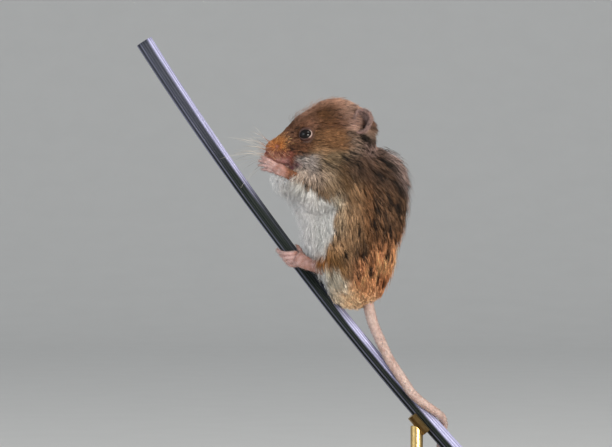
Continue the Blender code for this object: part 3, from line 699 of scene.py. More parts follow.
def limb(line, widths, sides, depths=None, flat_to=(0.0, 1.0, 0.0)):
    """The points and triangles of a tube with round ends along a line. Given depths are along flat_to."""
    line = np.asarray(line, float)
    widths = np.asarray(widths, float)
    depths = widths if depths is None else np.asarray(depths, float)
    ahead = np.gradient(line, axis=0)
    ahead /= np.linalg.norm(ahead, axis=1)[:, None]
    cap = np.radians((80.0, 60.0, 35.0))
    start_r, end_r = min(widths[0], depths[0]), min(widths[-1], depths[-1])
    starts = line[0] - ahead[0] * (start_r * np.sin(cap))[:, None]
    ends = line[-1] + ahead[-1] * (end_r * np.sin(cap[::-1]))[:, None]
    centre = np.vstack([starts, line, ends])
    ahead = np.vstack([np.repeat(ahead[:1], 3, 0), ahead, np.repeat(ahead[-1:], 3, 0)])
    widths = np.concatenate([widths[0] * np.cos(cap), widths, widths[-1] * np.cos(cap[::-1])])
    depths = np.concatenate([depths[0] * np.cos(cap), depths, depths[-1] * np.cos(cap[::-1])])
    thin = np.asarray(flat_to, float) - ahead * (ahead @ np.asarray(flat_to, float))[:, None]
    thin /= np.linalg.norm(thin, axis=1)[:, None]
    wide = np.cross(ahead, thin)
    turn = turns(sides)
    rings = (
        centre[:, None]
        + wide[:, None] * (widths[:, None] * np.cos(turn))[..., None]
        + thin[:, None] * (depths[:, None] * np.sin(turn))[..., None]
    )
    return capped(rings.reshape(-1, 3), len(centre), sides)


def finger(joints, radius, tip, side):
    """A finger or toe: a thin tube that is thicker at its knuckle and its end pad."""
    line = through(joints, 6) * (1, side, 1)
    share = np.linspace(0.0, 1.0, len(line))
    swell = 0.1 * np.exp(-(((share - 0.9) / 0.1) ** 2)) + 0.06 * np.exp(-(((share - 0.45) / 0.1) ** 2))
    radii = radius - (radius - tip) * share**1.5 + radius * swell
    return line, limb(line, radii, DIGIT_SIDES)


limb_parts = []
digit_lines = []
digit_ends = []
for side in (-1, 1):
    rows = through(np.column_stack([FORELEG_LINE, FORELEG_WIDTHS, FORELEG_DEPTHS]), 5)
    shapes = [limb(rows[:, :3] * (1, side, 1), rows[:, 3], LIMB_SIDES, rows[:, 4])]
    for joints in FINGERS:
        line, shape = finger(joints, FINGER_RADIUS, FINGER_TIP_RADIUS, side)
        shapes.append(shape)
        outside = np.array((-0.6, 0.2 * side, 0.7))
        digit_lines.append(line)
        digit_ends.append((line[-1], line[-1] - line[-4], outside, FINGER_TIP_RADIUS))
    limb_parts.append(fuse(shapes, HAND_VOXEL, 2))

# Skin of the hind feet
# A long narrow sole that runs out under the thigh's coat to the stem, and five thin toes that
# clasp it, the first round one side and the other four round the other.
FOOT_LINE = (
    (0.4, 6.8, 48.35),
    (-1.8, 6.35, 48.8),
    (-4.0, 5.5, 49.6),
    (-6.4, 3.8, 50.4),
    (-8.1, 2.7, 51.3),
)
FOOT_WIDTHS = (0.9, 1.0, 1.1, 1.25, 1.4)
FOOT_DEPTHS = (0.8, 0.75, 0.7, 0.66, 0.55)
TOE_RADIUS = 0.42
TOE_TIP_RADIUS = 0.26
FOOT_VOXEL = 0.13
LEFT_TOES = (
    ((1.2, -40.0), (-0.9, -86.0)),
    ((0.1, -20.0), (-2.5, 90.0)),
    ((0.8, -10.0), (-1.55, 97.0)),
    ((1.5, -2.0), (-0.6, 96.0)),
    ((2.2, 8.0), (0.4, 84.0)),
)
RIGHT_TOES = (
    ((1.2, -40.0), (-0.9, -74.0)),
    ((0.1, -20.0), (-3.3, 18.0)),
    ((0.8, -10.0), (-2.4, 30.0)),
    ((1.5, -2.0), (-1.4, 38.0)),
    ((2.2, 8.0), (-0.3, 44.0)),
)
RIGHT_FOOT_SHIFT = 1.6
for side, toes in ((-1, LEFT_TOES), (1, RIGHT_TOES)):
    shift = 0.0 if side < 0 else RIGHT_FOOT_SHIFT
    slide = on_stem(shift, 0.0, 0.0) - on_stem(0.0, 0.0, 0.0)
    rows = through(np.column_stack([FOOT_LINE, FOOT_WIDTHS, FOOT_DEPTHS]), 5)
    shapes = [limb(rows[:, :3] * (1, side, 1) + slide, rows[:, 3], LIMB_SIDES, rows[:, 4])]
    for start, end in toes:
        share = np.linspace(0.0, 1.0, 16)
        run = start[0] + (end[0] - start[0]) * share + shift
        angle = start[1] + (end[1] - start[1]) * share
        angle = angle if side < 0 else 180.0 - angle
        pads = 0.12 * np.exp(-(((share - 0.88) / 0.09) ** 2)) + 0.07 * np.exp(-(((share - 0.5) / 0.1) ** 2))
        radius = TOE_RADIUS - (TOE_RADIUS - TOE_TIP_RADIUS) * share**3 + TOE_RADIUS * pads
        lift = stem_radius(run) + 0.05 + radius + 0.35 * (1 - share) ** 2
        line = on_stem(run, angle, lift)
        digit_lines.append(line)
        shapes.append(limb(line, radius, DIGIT_SIDES, flat_to=(0.3, 0.1, 1.0)))
        outside = on_stem(run[-1], angle[-1], 1.0) - on_stem(run[-1], angle[-1], 0.0)
        digit_ends.append((line[-1], line[-1] - line[-4], outside, TOE_TIP_RADIUS))
    limb_parts.append(fuse(shapes, FOOT_VOXEL, 2))

# Skin of the tail
# A slim ringed tail, almost bare, that holds on like a fifth hand. It drops from the rump, lies
# along the stem and winds round it to its tip.
TAIL_DROP = (
    (4.4, 0.0, 47.5),
    (5.0, 0.0, 44.8),
    (5.4, -0.2, 42.6),
    (5.9, -0.7, 40.3),
    (6.55, -1.3, 38.2),
    (8.0, -2.1, 34.9),
)
TAIL_WIND = (
    (27.9, -48.0),
    (32.0, -35.0),
    (35.1, -27.0),
    (37.7, -36.0),
    (40.2, -57.0),
    (42.0, -84.0),
    (43.8, -130.0),
    (45.6, -190.0),
    (47.6, -255.0),
    (49.4, -325.0),
    (50.9, -400.0),
    (52.3, -475.0),
    (53.7, -550.0),
    (54.9, -610.0),
)
TAIL_BASE_RADIUS = 1.1
TAIL_WIND_RADIUS = 0.94
TAIL_TIP_RADIUS = 0.3
TAIL_CLEARANCE = 0.12
TAIL_SIDES = 24
TAIL_RINGS = 420
TAIL_SCALES = 0.62

wind = through(TAIL_WIND, 8)
share = np.linspace(0.0, 1.0, len(wind))
wind_radius = TAIL_WIND_RADIUS - (TAIL_WIND_RADIUS - TAIL_TIP_RADIUS) * share**1.3
wound = on_stem(wind[:, 0], wind[:, 1], stem_radius(wind[:, 0]) + TAIL_CLEARANCE + wind_radius)
drop = through(np.vstack([TAIL_DROP, wound[::8][:2]]), 8)[: -8 - 1]
tail_middle = np.vstack([drop, wound])
tail_radii = np.concatenate([np.linspace(TAIL_BASE_RADIUS, TAIL_WIND_RADIUS, len(drop)), wind_radius])
walked = np.concatenate([[0.0], np.cumsum(np.linalg.norm(np.diff(tail_middle, axis=0), axis=1))])
tail_run = np.linspace(0.0, walked[-1], TAIL_RINGS)
tail_line = np.stack([np.interp(tail_run, walked, tail_middle[:, k]) for k in range(3)], axis=1)
ahead = np.gradient(tail_line, axis=0)
ahead /= np.linalg.norm(ahead, axis=1)[:, None]
sideways = np.empty_like(ahead)
guess = np.array([0.0, 1.0, 0.0])
for index, direction in enumerate(ahead):
    guess = guess - direction * (guess @ direction)
    guess /= np.linalg.norm(guess)
    sideways[index] = guess
upright = np.cross(ahead, sideways)
tail_radius = np.interp(tail_run, walked, tail_radii)
tail_radius *= np.sqrt(np.clip((walked[-1] - tail_run) / TAIL_TIP_RADIUS, 0.02, 1.0))
ringed = tail_radius * (1 + 0.014 * np.sin(2 * math.pi * tail_run / TAIL_SCALES))
turn = turns(TAIL_SIDES)[None, :, None]
tail_rings = tail_line[:, None] + ringed[:, None, None] * (
    sideways[:, None] * np.cos(turn) + upright[:, None] * np.sin(turn)
)
tail_shell = capped(tail_rings.reshape(-1, 3), TAIL_RINGS, TAIL_SIDES)

# Skin as one piece
# All the shells in one skin. Under the coat it has the coat's own markings, darker, and it is pink
# on the hands, feet and tail and a wet pink on the nose and lips.
# The coat's colours, each read at its place on the side of the body. They run into one another.
# Besides the coat's own markings they hold painted light and shade: lighter where light falls on
# the mouse and darker where it is shaded.
CROWN = (0.135, 0.058, 0.029)
# Painted highlight along the top of the head.
CROWN_HIGHLIGHT = (0.490, 0.275, 0.187)
# Painted highlight on the back of the crown.
CROWN_BACK_HIGHLIGHT = (0.394, 0.252, 0.191)
# Painted highlights on the brow and in front of the eye.
BROW_HIGHLIGHT = (0.430, 0.220, 0.140)
DARK_TEMPLE = (0.108, 0.047, 0.015)
TEMPLE = (0.213, 0.106, 0.048)
TAN = (0.225, 0.158, 0.094)
MUZZLE_TOP = (0.560, 0.205, 0.055)
MUZZLE_SIDE = (0.252, 0.079, 0.056)
JOWL = (0.365, 0.315, 0.290)
NAPE = (0.296, 0.208, 0.155)
DARK_NAPE = (0.087, 0.051, 0.035)
BACK = (0.246, 0.131, 0.070)
# Painted rim light along the edge of the back.
BACK_RIM_LIGHT = (0.468, 0.338, 0.304)
SHOULDER = (0.144, 0.081, 0.036)
PALE_FLANK = (0.422, 0.308, 0.201)
FLANK = (0.408, 0.247, 0.134)
MID_FLANK = (0.170, 0.060, 0.015)
HAUNCH = (0.090, 0.048, 0.025)
THIGH = (0.226, 0.119, 0.046)
CUFF = (0.319, 0.118, 0.024)
RUMP = (0.950, 0.430, 0.200)
RUMP_LOW = (0.950, 0.620, 0.370)
WHITE = (0.671, 0.671, 0.659)
# Painted light: a brighter white on the shaded front edge of the belly, in a fold of the chest and under the
# chin.
LIT_WHITE = (0.937, 0.912, 0.900)
CREAM = (0.778, 0.712, 0.591)
EAR_TUFT = (0.413, 0.258, 0.205)
BEIGE = (0.650, 0.520, 0.430)
# Painted shade: dark mauve for the gap between the hand and the cheek.
GAP_SHADE = (0.148, 0.039, 0.060)
# Painted light in the crease between the head and the back, where shade falls.
NAPE_LIGHT = (0.528, 0.362, 0.316)
PINK_FUR = (0.600, 0.340, 0.320)
RUST = (0.495, 0.177, 0.067)
# The places (x, z) of the painted shade in the gap between the hand and the cheek.
GAP_SHADE_SPOTS = ((-8.1, 69.2), (-9.2, 68.6))
# Black streaks in the coat: the middle (x, z), its lean, its half width and half height.
DARK_STREAKS = (
    (4.3, 74.2, -0.4, 0.6, 0.9),
    (1.3, 70.2, -1.2, 0.45, 0.75),
    (-1.5, 68.7, -1.5, 0.35, 0.55),
    (6.1, 71.3, -0.8, 0.3, 0.6),
    (9.0, 69.0, -0.9, 0.5, 0.9),
    (7.1, 67.2, -0.7, 0.45, 1.0),
    (10.9, 64.6, -0.3, 0.4, 1.0),
    (9.0, 63.0, -0.3, 0.35, 0.9),
    (10.8, 60.9, 0.0, 0.5, 1.1),
    (7.3, 60.4, 0.0, 0.3, 0.9),
    (6.4, 58.3, 0.0, 0.35, 1.1),
    (9.2, 56.6, 0.1, 0.4, 1.0),
    (3.6, 56.6, 0.0, 0.25, 0.9),
    (1.1, 51.6, 0.1, 0.4, 1.0),
    (4.3, 51.6, 0.1, 0.45, 0.9),
    (8.8, 51.9, 0.1, 0.35, 1.2),
    (5.6, 49.3, 0.1, 0.4, 1.1),
    (7.0, 47.8, 0.2, 0.3, 0.7),
    (8.0, 46.3, 0.2, 0.3, 0.9),
)
MUZZLE_PINK = (0.34, 0.125, 0.085)
PAD_PINK = (0.58, 0.25, 0.20)
LIP_PINK = (0.56, 0.27, 0.24)
MOUTH_DARK = (0.12, 0.025, 0.025)
NOSE_PINK = (0.56, 0.28, 0.25)
NOSTRIL_DARK = (0.05, 0.01, 0.01)
PINK = (0.34, 0.160, 0.115)
PALE_PINK = (0.54, 0.37, 0.35)
# Darker red between the digits: partly the skin's own colour in the folds, partly painted shade.
FOLD_RED = (0.24, 0.075, 0.06)
FOREARM = (0.32, 0.125, 0.070)
TAIL_PINK = (0.45, 0.30, 0.26)
TAIL_PALE = (0.54, 0.45, 0.41)
EAR_BROWN = (0.30, 0.195, 0.175)
EAR_RIM = (0.35, 0.225, 0.200)
MOTTLE_STOPS = [(0.3, (0.72, 0.64, 0.62)), (0.7, (1.18, 1.14, 1.12))]
# The neck runs through this height at x = 0 and rises by this much for each millimetre back.
NECK_HEIGHT = 69.6
NECK_SLOPE = 0.448
# Above this height a limb is a foreleg.
LEGS_PART = 58.0


def tinted(points, base):
    """This colour, or this way, once for each point."""
    return np.broadcast_to(np.asarray(base, float), (len(points), 3)).copy()


def blend(colours, other, share):
    """Colours moved towards another colour by a share for each point."""
    return colours + (np.asarray(other) - colours) * np.clip(share, 0.0, 1.0)[:, None]


def layered(points, base, *others):
    """The base colour at each point, moved in turn to each other colour by its share."""
    colours = tinted(points, base)
    for other, share in others:
        colours = blend(colours, other, share)
    return colours


def triangles(quads):
    """Each quad cut in two from its first corner."""
    return np.vstack([quads[:, [0, 1, 2]], quads[:, [0, 2, 3]]])


def waves(points, scale, seed):
    """Smooth noise from -1 to 1: eight sine waves of this wavelength in random directions."""
    made = np.random.default_rng(seed)
    ways = made.normal(size=(8, 3))
    ways *= 2 * math.pi / scale / np.linalg.norm(ways, axis=1)[:, None] * made.uniform(0.7, 1.5, (8, 1))
    return np.sin(points @ ways.T + made.uniform(0, 6.3, 8)).sum(1) / 4


def flank_edge(z):
    """How far forward the flank's brown reaches at each height, where the white begins."""
    return np.interp(
        z, (44.0, 50.6, 52.6, 56.2, 59.0, 61.5, 66.0), (-1.5, -3.6, -2.7, -1.1, -0.8, -1.0, -3.0)
    )


def white_share(points):
    """How far a place belongs to the white underside: in front of the flank, below the forearm."""
    x, z = points[:, 0], points[:, 2]
    flank = flank_edge(z)
    forearm = np.interp(x, (-13.0, -8.9, -7.2, -4.2, -1.9, 0.0), (69.0, 66.5, 64.9, 63.3, 62.3, 61.6))
    ragged = 0.45 * waves(points, 2.6, 21)
    return smooth_step(flank - x + ragged, -0.5, 0.6) * smooth_step(forearm - z + ragged, -0.4, 0.5)


def pale_share(points):
    """How far a place has the dense even fur without dark roots: the white underside, and the low rump,
    where keeping the roots light is painted light.
    """
    # On the low rump the light roots are painted light on the rump's underside.
    low_rump = smooth_step(48.5 - points[:, 2] + 0.5 * waves(points, 3.0, 22), 0.0, 3.0)
    return np.maximum(white_share(points), 0.6 * low_rump)


def neck_side(points, reach=1.5):
    """1 on the head, 0 on the body, and between them from reach below the neck to reach above it."""
    return smooth_step(points[:, 2] - (NECK_HEIGHT + NECK_SLOPE * points[:, 0]), -reach, reach)


def patch(points, x, z, reach):
    """1 at this place on the side and near it, fading to 0 at a distance of reach."""
    return np.exp(-(((points[:, 0] - x) / reach) ** 2) - ((points[:, 2] - z) / reach) ** 2)


def body_hue(points):
    """The coat's middle colour on the body: the flank's, and over it the others, each at its place."""
    x, z = points[:, 0], points[:, 2]
    ragged = waves(points * (1.0, 1.0, 0.25), 1.8, 41) + 0.5 * waves(points, 4.0, 42)
    edge = x - flank_edge(z)
    on_spine = smooth_step(z + 1.3 * ragged, 51.0, 58.0)
    neck = smooth_step(z + 0.3 * (x - 4.0), 63.5, 67.5) * smooth_step(x, -1.0, 3.0)
    high = smooth_step(z, 60.0, 63.0)
    low = 0.75 * (x - 3.3) + (52.0 - z) + 1.3 * ragged
    cream = smooth_step(49.0 - z - 0.45 * (x + 1.5) + 0.7 * ragged, -0.8, 1.4)
    behind = 0.4 + 0.5 * smooth_step(x, -1.0, 2.5)
    white = white_share(points)
    front = np.interp(z, (50.0, 60.0, 66.0), (-6.2, -7.5, -12.0))
    return layered(
        points,
        FLANK,
        (MID_FLANK, smooth_step(x, 2.5, 6.0) * 0.8),
        (SHOULDER, smooth_step(z, 60.0, 63.5) * (1 - smooth_step(x, 0.0, 5.0))),
        (PALE_FLANK, np.exp(-(((edge - 1.0) / 1.5) ** 2)) * smooth_step(z, 53.0, 57.0) * 0.9),
        (BACK, smooth_step(x + 0.15 * (z - 58.0) + ragged, 4.5, 9.0) * on_spine),
        (DARK_NAPE, neck * 0.85),
        # Painted light in the crease behind the head.
        (NAPE_LIGHT, patch(points, 5.9, 72.2, 1.5) * 0.9),
        # Painted rim light along the edge of the back.
        (BACK_RIM_LIGHT, smooth_step(x + 0.45 * (z - 66.0), 10.0, 12.2) * high * 0.8),
        (BEIGE, patch(points, -5.0, 66.6, 2.4) * 0.7),
        (SHOULDER, patch(points, -1.5, 64.3, 1.4) * 0.6),
        (CREAM, patch(points, -0.7, 61.9, 1.3) * 0.75),
        (HAUNCH, smooth_step(56.0 - z, 0.0, 3.0) * (1 - np.abs(np.clip((x - 3.8) / 3.2, -1, 1)))),
        (THIGH, smooth_step(54.0 - z, 0.0, 3.0) * (1 - smooth_step(x, -0.5, 3.0))),
        (RUMP, smooth_step(low, -0.8, 6.0) * smooth_step(x + 0.6 * ragged, 0.5, 4.5)),
        (CREAM, cream * (1 - smooth_step(x + 0.5 * ragged, 0.3, 3.2))),
        (RUMP_LOW, smooth_step(47.4 - z + 0.6 * ragged, 0.0, 3.0) * behind),
        (RUMP, patch(points, 4.9, 45.6, 2.0) * 0.85),
        (RUST, smooth_step(x + 0.5 * ragged, 5.8, 8.0) * smooth_step(49.5 - z, 0.0, 2.5) * 0.9),
        (WHITE, white),
        # Painted light on the shaded front edge of the belly and in a fold of the chest.
        (LIT_WHITE, white * (1 - smooth_step(x - front, 0.5, 3.2))),
        (LIT_WHITE, white * patch(points, -5.8, 61.2, 2.4) * 0.8),
        (CREAM, white * 0.4 * smooth_step(z, 61.0, 66.0)),
        (CUFF, patch(points, -3.7, 50.2, 1.5) * smooth_step(x, -5.5, -4.2)),
    )


def head_hue(points):
    """The coat's middle colour on the head: the crown's, and over it the others, each at its place."""
    x, z = points[:, 0], points[:, 2]
    top = np.interp(x, (-9.6, -7.2, -4.0, -1.4, 1.6, 3.4), (76.9, 79.2, 81.2, 81.8, 81.4, 79.8))
    orange = smooth_step(-x, 9.9, 11.3) * smooth_step(z, 71.6, 72.6) * (1 - smooth_step(z, 73.9, 75.2))
    lip = smooth_step(-x, 9.2, 10.6) * (1 - smooth_step(z, 69.9, 70.9))
    jowl = smooth_step(71.4 + 0.1 * (x + 8.0) - z, 0.0, 1.3) * smooth_step(x, -9.2, -7.8)
    return layered(
        points,
        CROWN,
        # Painted highlight along the top outline of the crown.
        (CROWN_HIGHLIGHT, (1 - smooth_step(top - z, 0.2, 2.4)) * smooth_step(x, -9.5, -6.0)),
        # Painted highlights on the brow and in front of the eye.
        (BROW_HIGHLIGHT, patch(points, -4.9, 76.9, 1.7) * 0.9),
        (BROW_HIGHLIGHT, patch(points, -9.6, 74.8, 1.3) * 0.4),
        (DARK_TEMPLE, patch(points, -2.9, 78.3, 2.3) * 0.85),
        # Painted highlight on the back of the crown.
        (CROWN_BACK_HIGHLIGHT, patch(points, 2.2, 80.2, 2.3) * 0.9),
        (TEMPLE, smooth_step(76.8 - z, 0.0, 1.8) * smooth_step(x, -6.5, -4.0)),
        (TAN, smooth_step(72.8 - z, 0.0, 2.0) * smooth_step(x, -7.0, -4.0)),
        # Painted highlight at the edge of the cheek, in the flank's colour.
        (FLANK, patch(points, -3.2, 71.5, 1.2) * 0.6),
        (MUZZLE_TOP, orange),
        (MUZZLE_SIDE, smooth_step(-x, 7.8, 10.0) * (1 - smooth_step(z, 71.3, 72.6))),
        (PINK_FUR, lip * 0.95),
        (NAPE, smooth_step(x, 0.5, 3.0) * smooth_step(77.5 - z, 0.0, 3.0)),
        (DARK_NAPE, smooth_step(x - 0.3 * (72.0 - z), 3.4, 5.4) * smooth_step(75.5 - z, 0.0, 2.0)),
        # Painted light in the crease behind the head.
        (NAPE_LIGHT, patch(points, 5.9, 72.2, 1.5) * 0.9),
        (JOWL, jowl * (1 - smooth_step(x, -5.2, -2.6))),
        (BEIGE, smooth_step(-x, 4.5, 7.5) * (1 - smooth_step(z, 67.8, 69.6))),
        # Painted light on the throat under the chin.
        (LIT_WHITE, smooth_step(-x, 8.4, 10.2) * (1 - smooth_step(z, 67.4, 68.6))),
        (EAR_TUFT, patch(points, 3.2, 77.0, 1.8)),
        # Painted shade in the gap between the hand and the cheek.
        *((GAP_SHADE, patch(points, spot_x, spot_z, 0.55)) for spot_x, spot_z in GAP_SHADE_SPOTS),
    )


def either_hue(points):
    """The coat's middle colour on the head or body, and between them across the neck."""
    share = neck_side(points)[:, None]
    return body_hue(points) * (1 - share) + head_hue(points) * share


def dark_streaks(points):
    """1 in the middle of each black streak and 0 away from it, by place on the side of the body."""
    x, z = points[:, 0], points[:, 2]
    found = np.zeros(len(points))
    for streak_x, streak_z, lean, width, height in DARK_STREAKS:
        across = (x - streak_x) - lean * (z - streak_z)
        found = np.maximum(found, np.exp(-((across / width) ** 2) - ((z - streak_z) / height) ** 2))
    return found


body_colour = either_hue(body_points) * (0.6 + 0.3 * pale_share(body_points))[:, None]
body_colour *= 1 - 0.9 * dark_streaks(body_points)[:, None]
on_head = neck_side(body_points)
body_colour = blend(body_colour, MUZZLE_PINK, smooth_step(-body_points[:, 0], 8.5, 12.0) * on_head)
for side in (-1, 1):
    apart = np.linalg.norm((body_points - mirrored(PAD_AT, side)) / (1.0, 1.0, 0.8), axis=1)
    body_colour = blend(body_colour, PAD_PINK, 1 - smooth_step(apart, 1.0, 2.2))
lip_share = np.zeros(len(body_points))
# Pink lips along the mouth line, and a dark line between them that is painted shade in the crease.
for colour, reach, strength in ((LIP_PINK, 0.95, 1.0), (MOUTH_DARK, 0.18, 0.7)):
    lip_share[on_face] = strength * np.exp(-((from_mouth / reach) ** 2))
    body_colour = blend(body_colour, colour, lip_share)
apart = np.linalg.norm(body_points - NOSE_AT, axis=1)
body_colour = blend(body_colour, NOSE_PINK, 1 - smooth_step(apart, 0.75, 1.25))
# Dark nostrils: painted shade in the hollows.
for side in (-1, 1):
    apart = np.linalg.norm(body_points - mirrored(NOSTRIL_AT, side), axis=1)
    body_colour = blend(body_colour, NOSTRIL_DARK, np.exp(-((apart / 0.3) ** 2)))
shells = [(body_points, triangles(body_quads), body_colour)]

ears = []
for side in (-1, 1):
    ear_points, ear_faces = ear_shell(side)
    ears.append((ear_points, ear_faces))
    from_middle = np.linalg.norm((ear_points - mirrored(EAR_AT, side))[:, [0, 2]], axis=1)
    ear_colour = layered(ear_points, EAR_BROWN, (EAR_RIM, smooth_step(from_middle, 1.3, 2.2) * 0.8))
    shells.append((ear_points, ear_faces, ear_colour))

for limb_points, limb_quads in limb_parts:
    on_arm = limb_points[:, 2] > LEGS_PART
    x = limb_points[:, 0]
    gaps = [np.linalg.norm(limb_points[:, None] - line[None], axis=2).min(1) for line in digit_lines]
    gap = np.min(gaps, axis=0)
    on_digit = 1 - smooth_step(np.where(on_arm, x + 13.0, x + 8.9), -0.6, 0.9)
    pale = 0.35 + 0.3 * waves(limb_points, 1.6, 31) + 0.45 * on_digit
    limb_colour = layered(
        limb_points,
        PINK,
        (PALE_PINK, pale),
        # Darker red between the digits: partly the skin's own colour, partly painted shade between them.
        (FOLD_RED, smooth_step(gap, 0.40, 0.52) * on_digit * 0.85),
        (FOREARM, smooth_step(x, -11.6, -9.4) * on_arm),
    )
    shells.append((limb_points, triangles(limb_quads), limb_colour))

tail_points, tail_faces = tail_shell
pale = 0.55 + 0.25 * waves(tail_points, 3.0, 32)
shells.append((tail_points, tail_faces, layered(tail_points, TAIL_PINK, (TAIL_PALE, pale))))

def maths(material, operation, *values):
    """The result of this operation on sockets or plain numbers."""
    made = node(material, "ShaderNodeMath", operation=operation)
    for socket, value in zip(made.inputs, values):
        feed(material, socket, value)
    return made.outputs["Value"]


skin_points, skin_faces = joined([shell[:2] for shell in shells])
skin_colours = np.vstack([shell[2] for shell in shells])
print("skin triangles", len(skin_faces), [len(shell[1]) for shell in shells])
skin = mesh_piece("skin", skin_points, skin_faces)
run = np.full(len(skin_points), -1.0)
run[-len(tail_points) :] = np.append(np.repeat(tail_run, TAIL_SIDES), [0.0, walked[-1]])
point_layer(skin, "tail_run", "FLOAT", run)
point_layer(skin, "skin_colour", "FLOAT_COLOR", np.column_stack([skin_colours, np.ones(len(skin_colours))]))

flesh, flesh_shader = new_material("skin")
mottle, spots = speckle(flesh, MOTTLE_STOPS, Scale=1800.0, Detail=5.0, Roughness=0.6)
toned = mixed(flesh, 1.0, attribute(flesh, "skin_colour", "Color"), spots, "MULTIPLY")
dress(
    flesh, flesh_shader, toned, Roughness=0.5, Subsurface_Weight=0.12,
    Subsurface_Radius=(0.6 * MM, 0.2 * MM, 0.12 * MM), Subsurface_Scale=1.0,
)
down_tail = attribute(flesh, "tail_run")
rings = maths(flesh, "SINE", maths(flesh, "MULTIPLY", down_tail, 2 * math.pi / TAIL_SCALES * 2))
on_tail = maths(flesh, "GREATER_THAN", down_tail, -0.5)
height = maths(flesh, "MULTIPLY_ADD", maths(flesh, "MULTIPLY", rings, on_tail), 0.35, mottle)
bump(flesh, flesh_shader, height, 0.5, 0.00008)
skin.data.materials.append(flesh)
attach(skin, "root")
flesh_nodes = ["head", "torso", "ear_left", "ear_right"]
for part in ("foreleg", "forefoot", "hindleg", "hindfoot"):
    flesh_nodes += [f"{part}_left", f"{part}_right"]
flesh_nodes += [f"tail_{number}" for number in range(1, 7)]
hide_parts(*flesh_nodes)

# Eyes and lids
# Black glass beads, set in lids that open in a short almond. The lids are thin dark skin with a
# painted pale highlight at the rear corner.
EYE_RADIUS = 1.3
EYE_AT = (-6.5, 4.2, 74.95)
EYE_FACES = (-0.22, 0.95, 0.10)
LID_OPENING = (1.13, 0.92)
LID_TILT = math.radians(14.0)
LID_OUTSIDE = 1.42
LID_INSIDE = 1.31
LID_SKIRT = math.radians(82.0)
LID_COLUMNS = 64
GLASS_STOPS = [(0.3, (0.002, 0.0015, 0.0015)), (0.8, (0.010, 0.006, 0.005))]
LID_STOPS = [(0.3, (0.030, 0.014, 0.011)), (0.75, (0.105, 0.048, 0.038))]
# The colour of the painted highlight at the rear corner of the lids.
REAR_HIGHLIGHT = (0.46, 0.33, 0.29, 1.0)


def eye_frame(side):
    """The eye's centre, the way it faces, and the ways along and up its opening."""
    centre = np.array(mirrored(EYE_AT, side))
    facing = np.array(mirrored(EYE_FACES, side))
    facing /= np.linalg.norm(facing)
    along = np.cross((0.0, 0.0, 1.0), facing) * -side
    along /= np.linalg.norm(along)
    above = np.cross(facing, along) * -side
    tilted = along * math.cos(LID_TILT) + above * math.sin(LID_TILT)
    return centre, facing, tilted, above * math.cos(LID_TILT) - along * math.sin(LID_TILT)


glass, glass_shader = new_material("eye")
_, glass_colour = speckle(glass, GLASS_STOPS, Scale=900.0, Detail=2.0)
dress(glass, glass_shader, glass_colour, Roughness=0.09, Specular_IOR_Level=0.22)

lid_skin, lid_shader = new_material("lids")
wrinkles, lid_colour = speckle(lid_skin, LID_STOPS, Scale=2600.0, Detail=4.0)
lid_tone = mixed(lid_skin, attribute(lid_skin, "rear_highlight"), lid_colour, REAR_HIGHLIGHT)
dress(lid_skin, lid_shader, lid_tone, Roughness=0.4)
bump(lid_skin, lid_shader, wrinkles, 0.4, 0.00008)

for side, word in ((-1, "left"), (1, "right")):
    centre, facing, along, above = eye_frame(side)
    ball_points, ball_faces = ellipsoid(centre, (EYE_RADIUS,) * 3, detail=(64, 40))
    eye = mesh_piece(f"eyeball_{word}", ball_points, ball_faces)
    eye.data.materials.append(glass)
    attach(eye, "root")
    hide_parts(f"eye_{word}")

    turn = turns(LID_COLUMNS)
    corner = 1 + 0.1 * np.cos(turn) ** 8
    opening = np.hypot(LID_OPENING[0] * np.cos(turn), LID_OPENING[1] * np.sin(turn)) * corner
    rim = np.arcsin(opening / LID_OUTSIDE)
    # Painted highlight: the pale rear corner of the lids.
    to_rear = smooth_step(np.cos(turn + 0.2), 0.60, 0.97)
    to_rim, from_rim = 1 - np.linspace(0, 1, 10) ** 1.5, np.linspace(0, 1, 5)
    rings, rear_rings = [], []
    for reach, shares in ((LID_OUTSIDE, to_rim), (LID_INSIDE, from_rim)):
        for share in shares:
            polar = rim + (LID_SKIRT - rim) * share
            rings.append(
                centre
                + facing * (reach * np.cos(polar))[:, None]
                + along * (reach * np.sin(polar) * np.cos(turn))[:, None]
                + above * (reach * np.sin(polar) * np.sin(turn))[:, None]
            )
            rear_rings.append(to_rear * (1 - smooth_step(share, 0.0, 0.7)))
    count = len(rings)
    lid_faces = grid_faces(count, LID_COLUMNS, True)
    around = np.arange(LID_COLUMNS)
    after = (around + 1) % LID_COLUMNS
    last = (count - 1) * LID_COLUMNS
    seam = np.stack([last + around, last + after, after, around], axis=1)
    lids = mesh_piece(f"lids_{word}", np.vstack(rings), np.vstack([lid_faces, seam]))
    point_layer(lids, "rear_highlight", "FLOAT", np.concatenate(rear_rings))
    lids.data.materials.append(lid_skin)
    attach(lids, "root")

# Coat: how a tuft is made
# Every tuft is a thin three-sided spike rooted in the skin. It rises, bends over and lies along
# the body, and neighbouring tufts lean together into pointed locks.
rng = np.random.default_rng(7)
TUFTS_A_PIECE = 19000
PATCH = 0.003
ROOT_DEPTH = 0.12
LOCK_TURN = 0.14
TUFT_TURN = 0.1
BEND_AT = 0.45
BEND_RISE = 0.42
STRAND_STOPS = [(0.3, (0.80, 0.80, 0.80)), (0.7, (1.16, 1.16, 1.16))]


def vertex_normals(points, faces):
    """Unit normals at the points, each the sum of its triangles' own normals."""
    corners = points[faces]
    flat = np.cross(corners[:, 1] - corners[:, 0], corners[:, 2] - corners[:, 0])
    total = np.zeros_like(points)
    for k in range(3):
        for axis in range(3):
            total[:, axis] += np.bincount(faces[:, k], flat[:, axis], len(points))
    return total / np.maximum(np.linalg.norm(total, axis=1), 1e-12)[:, None]


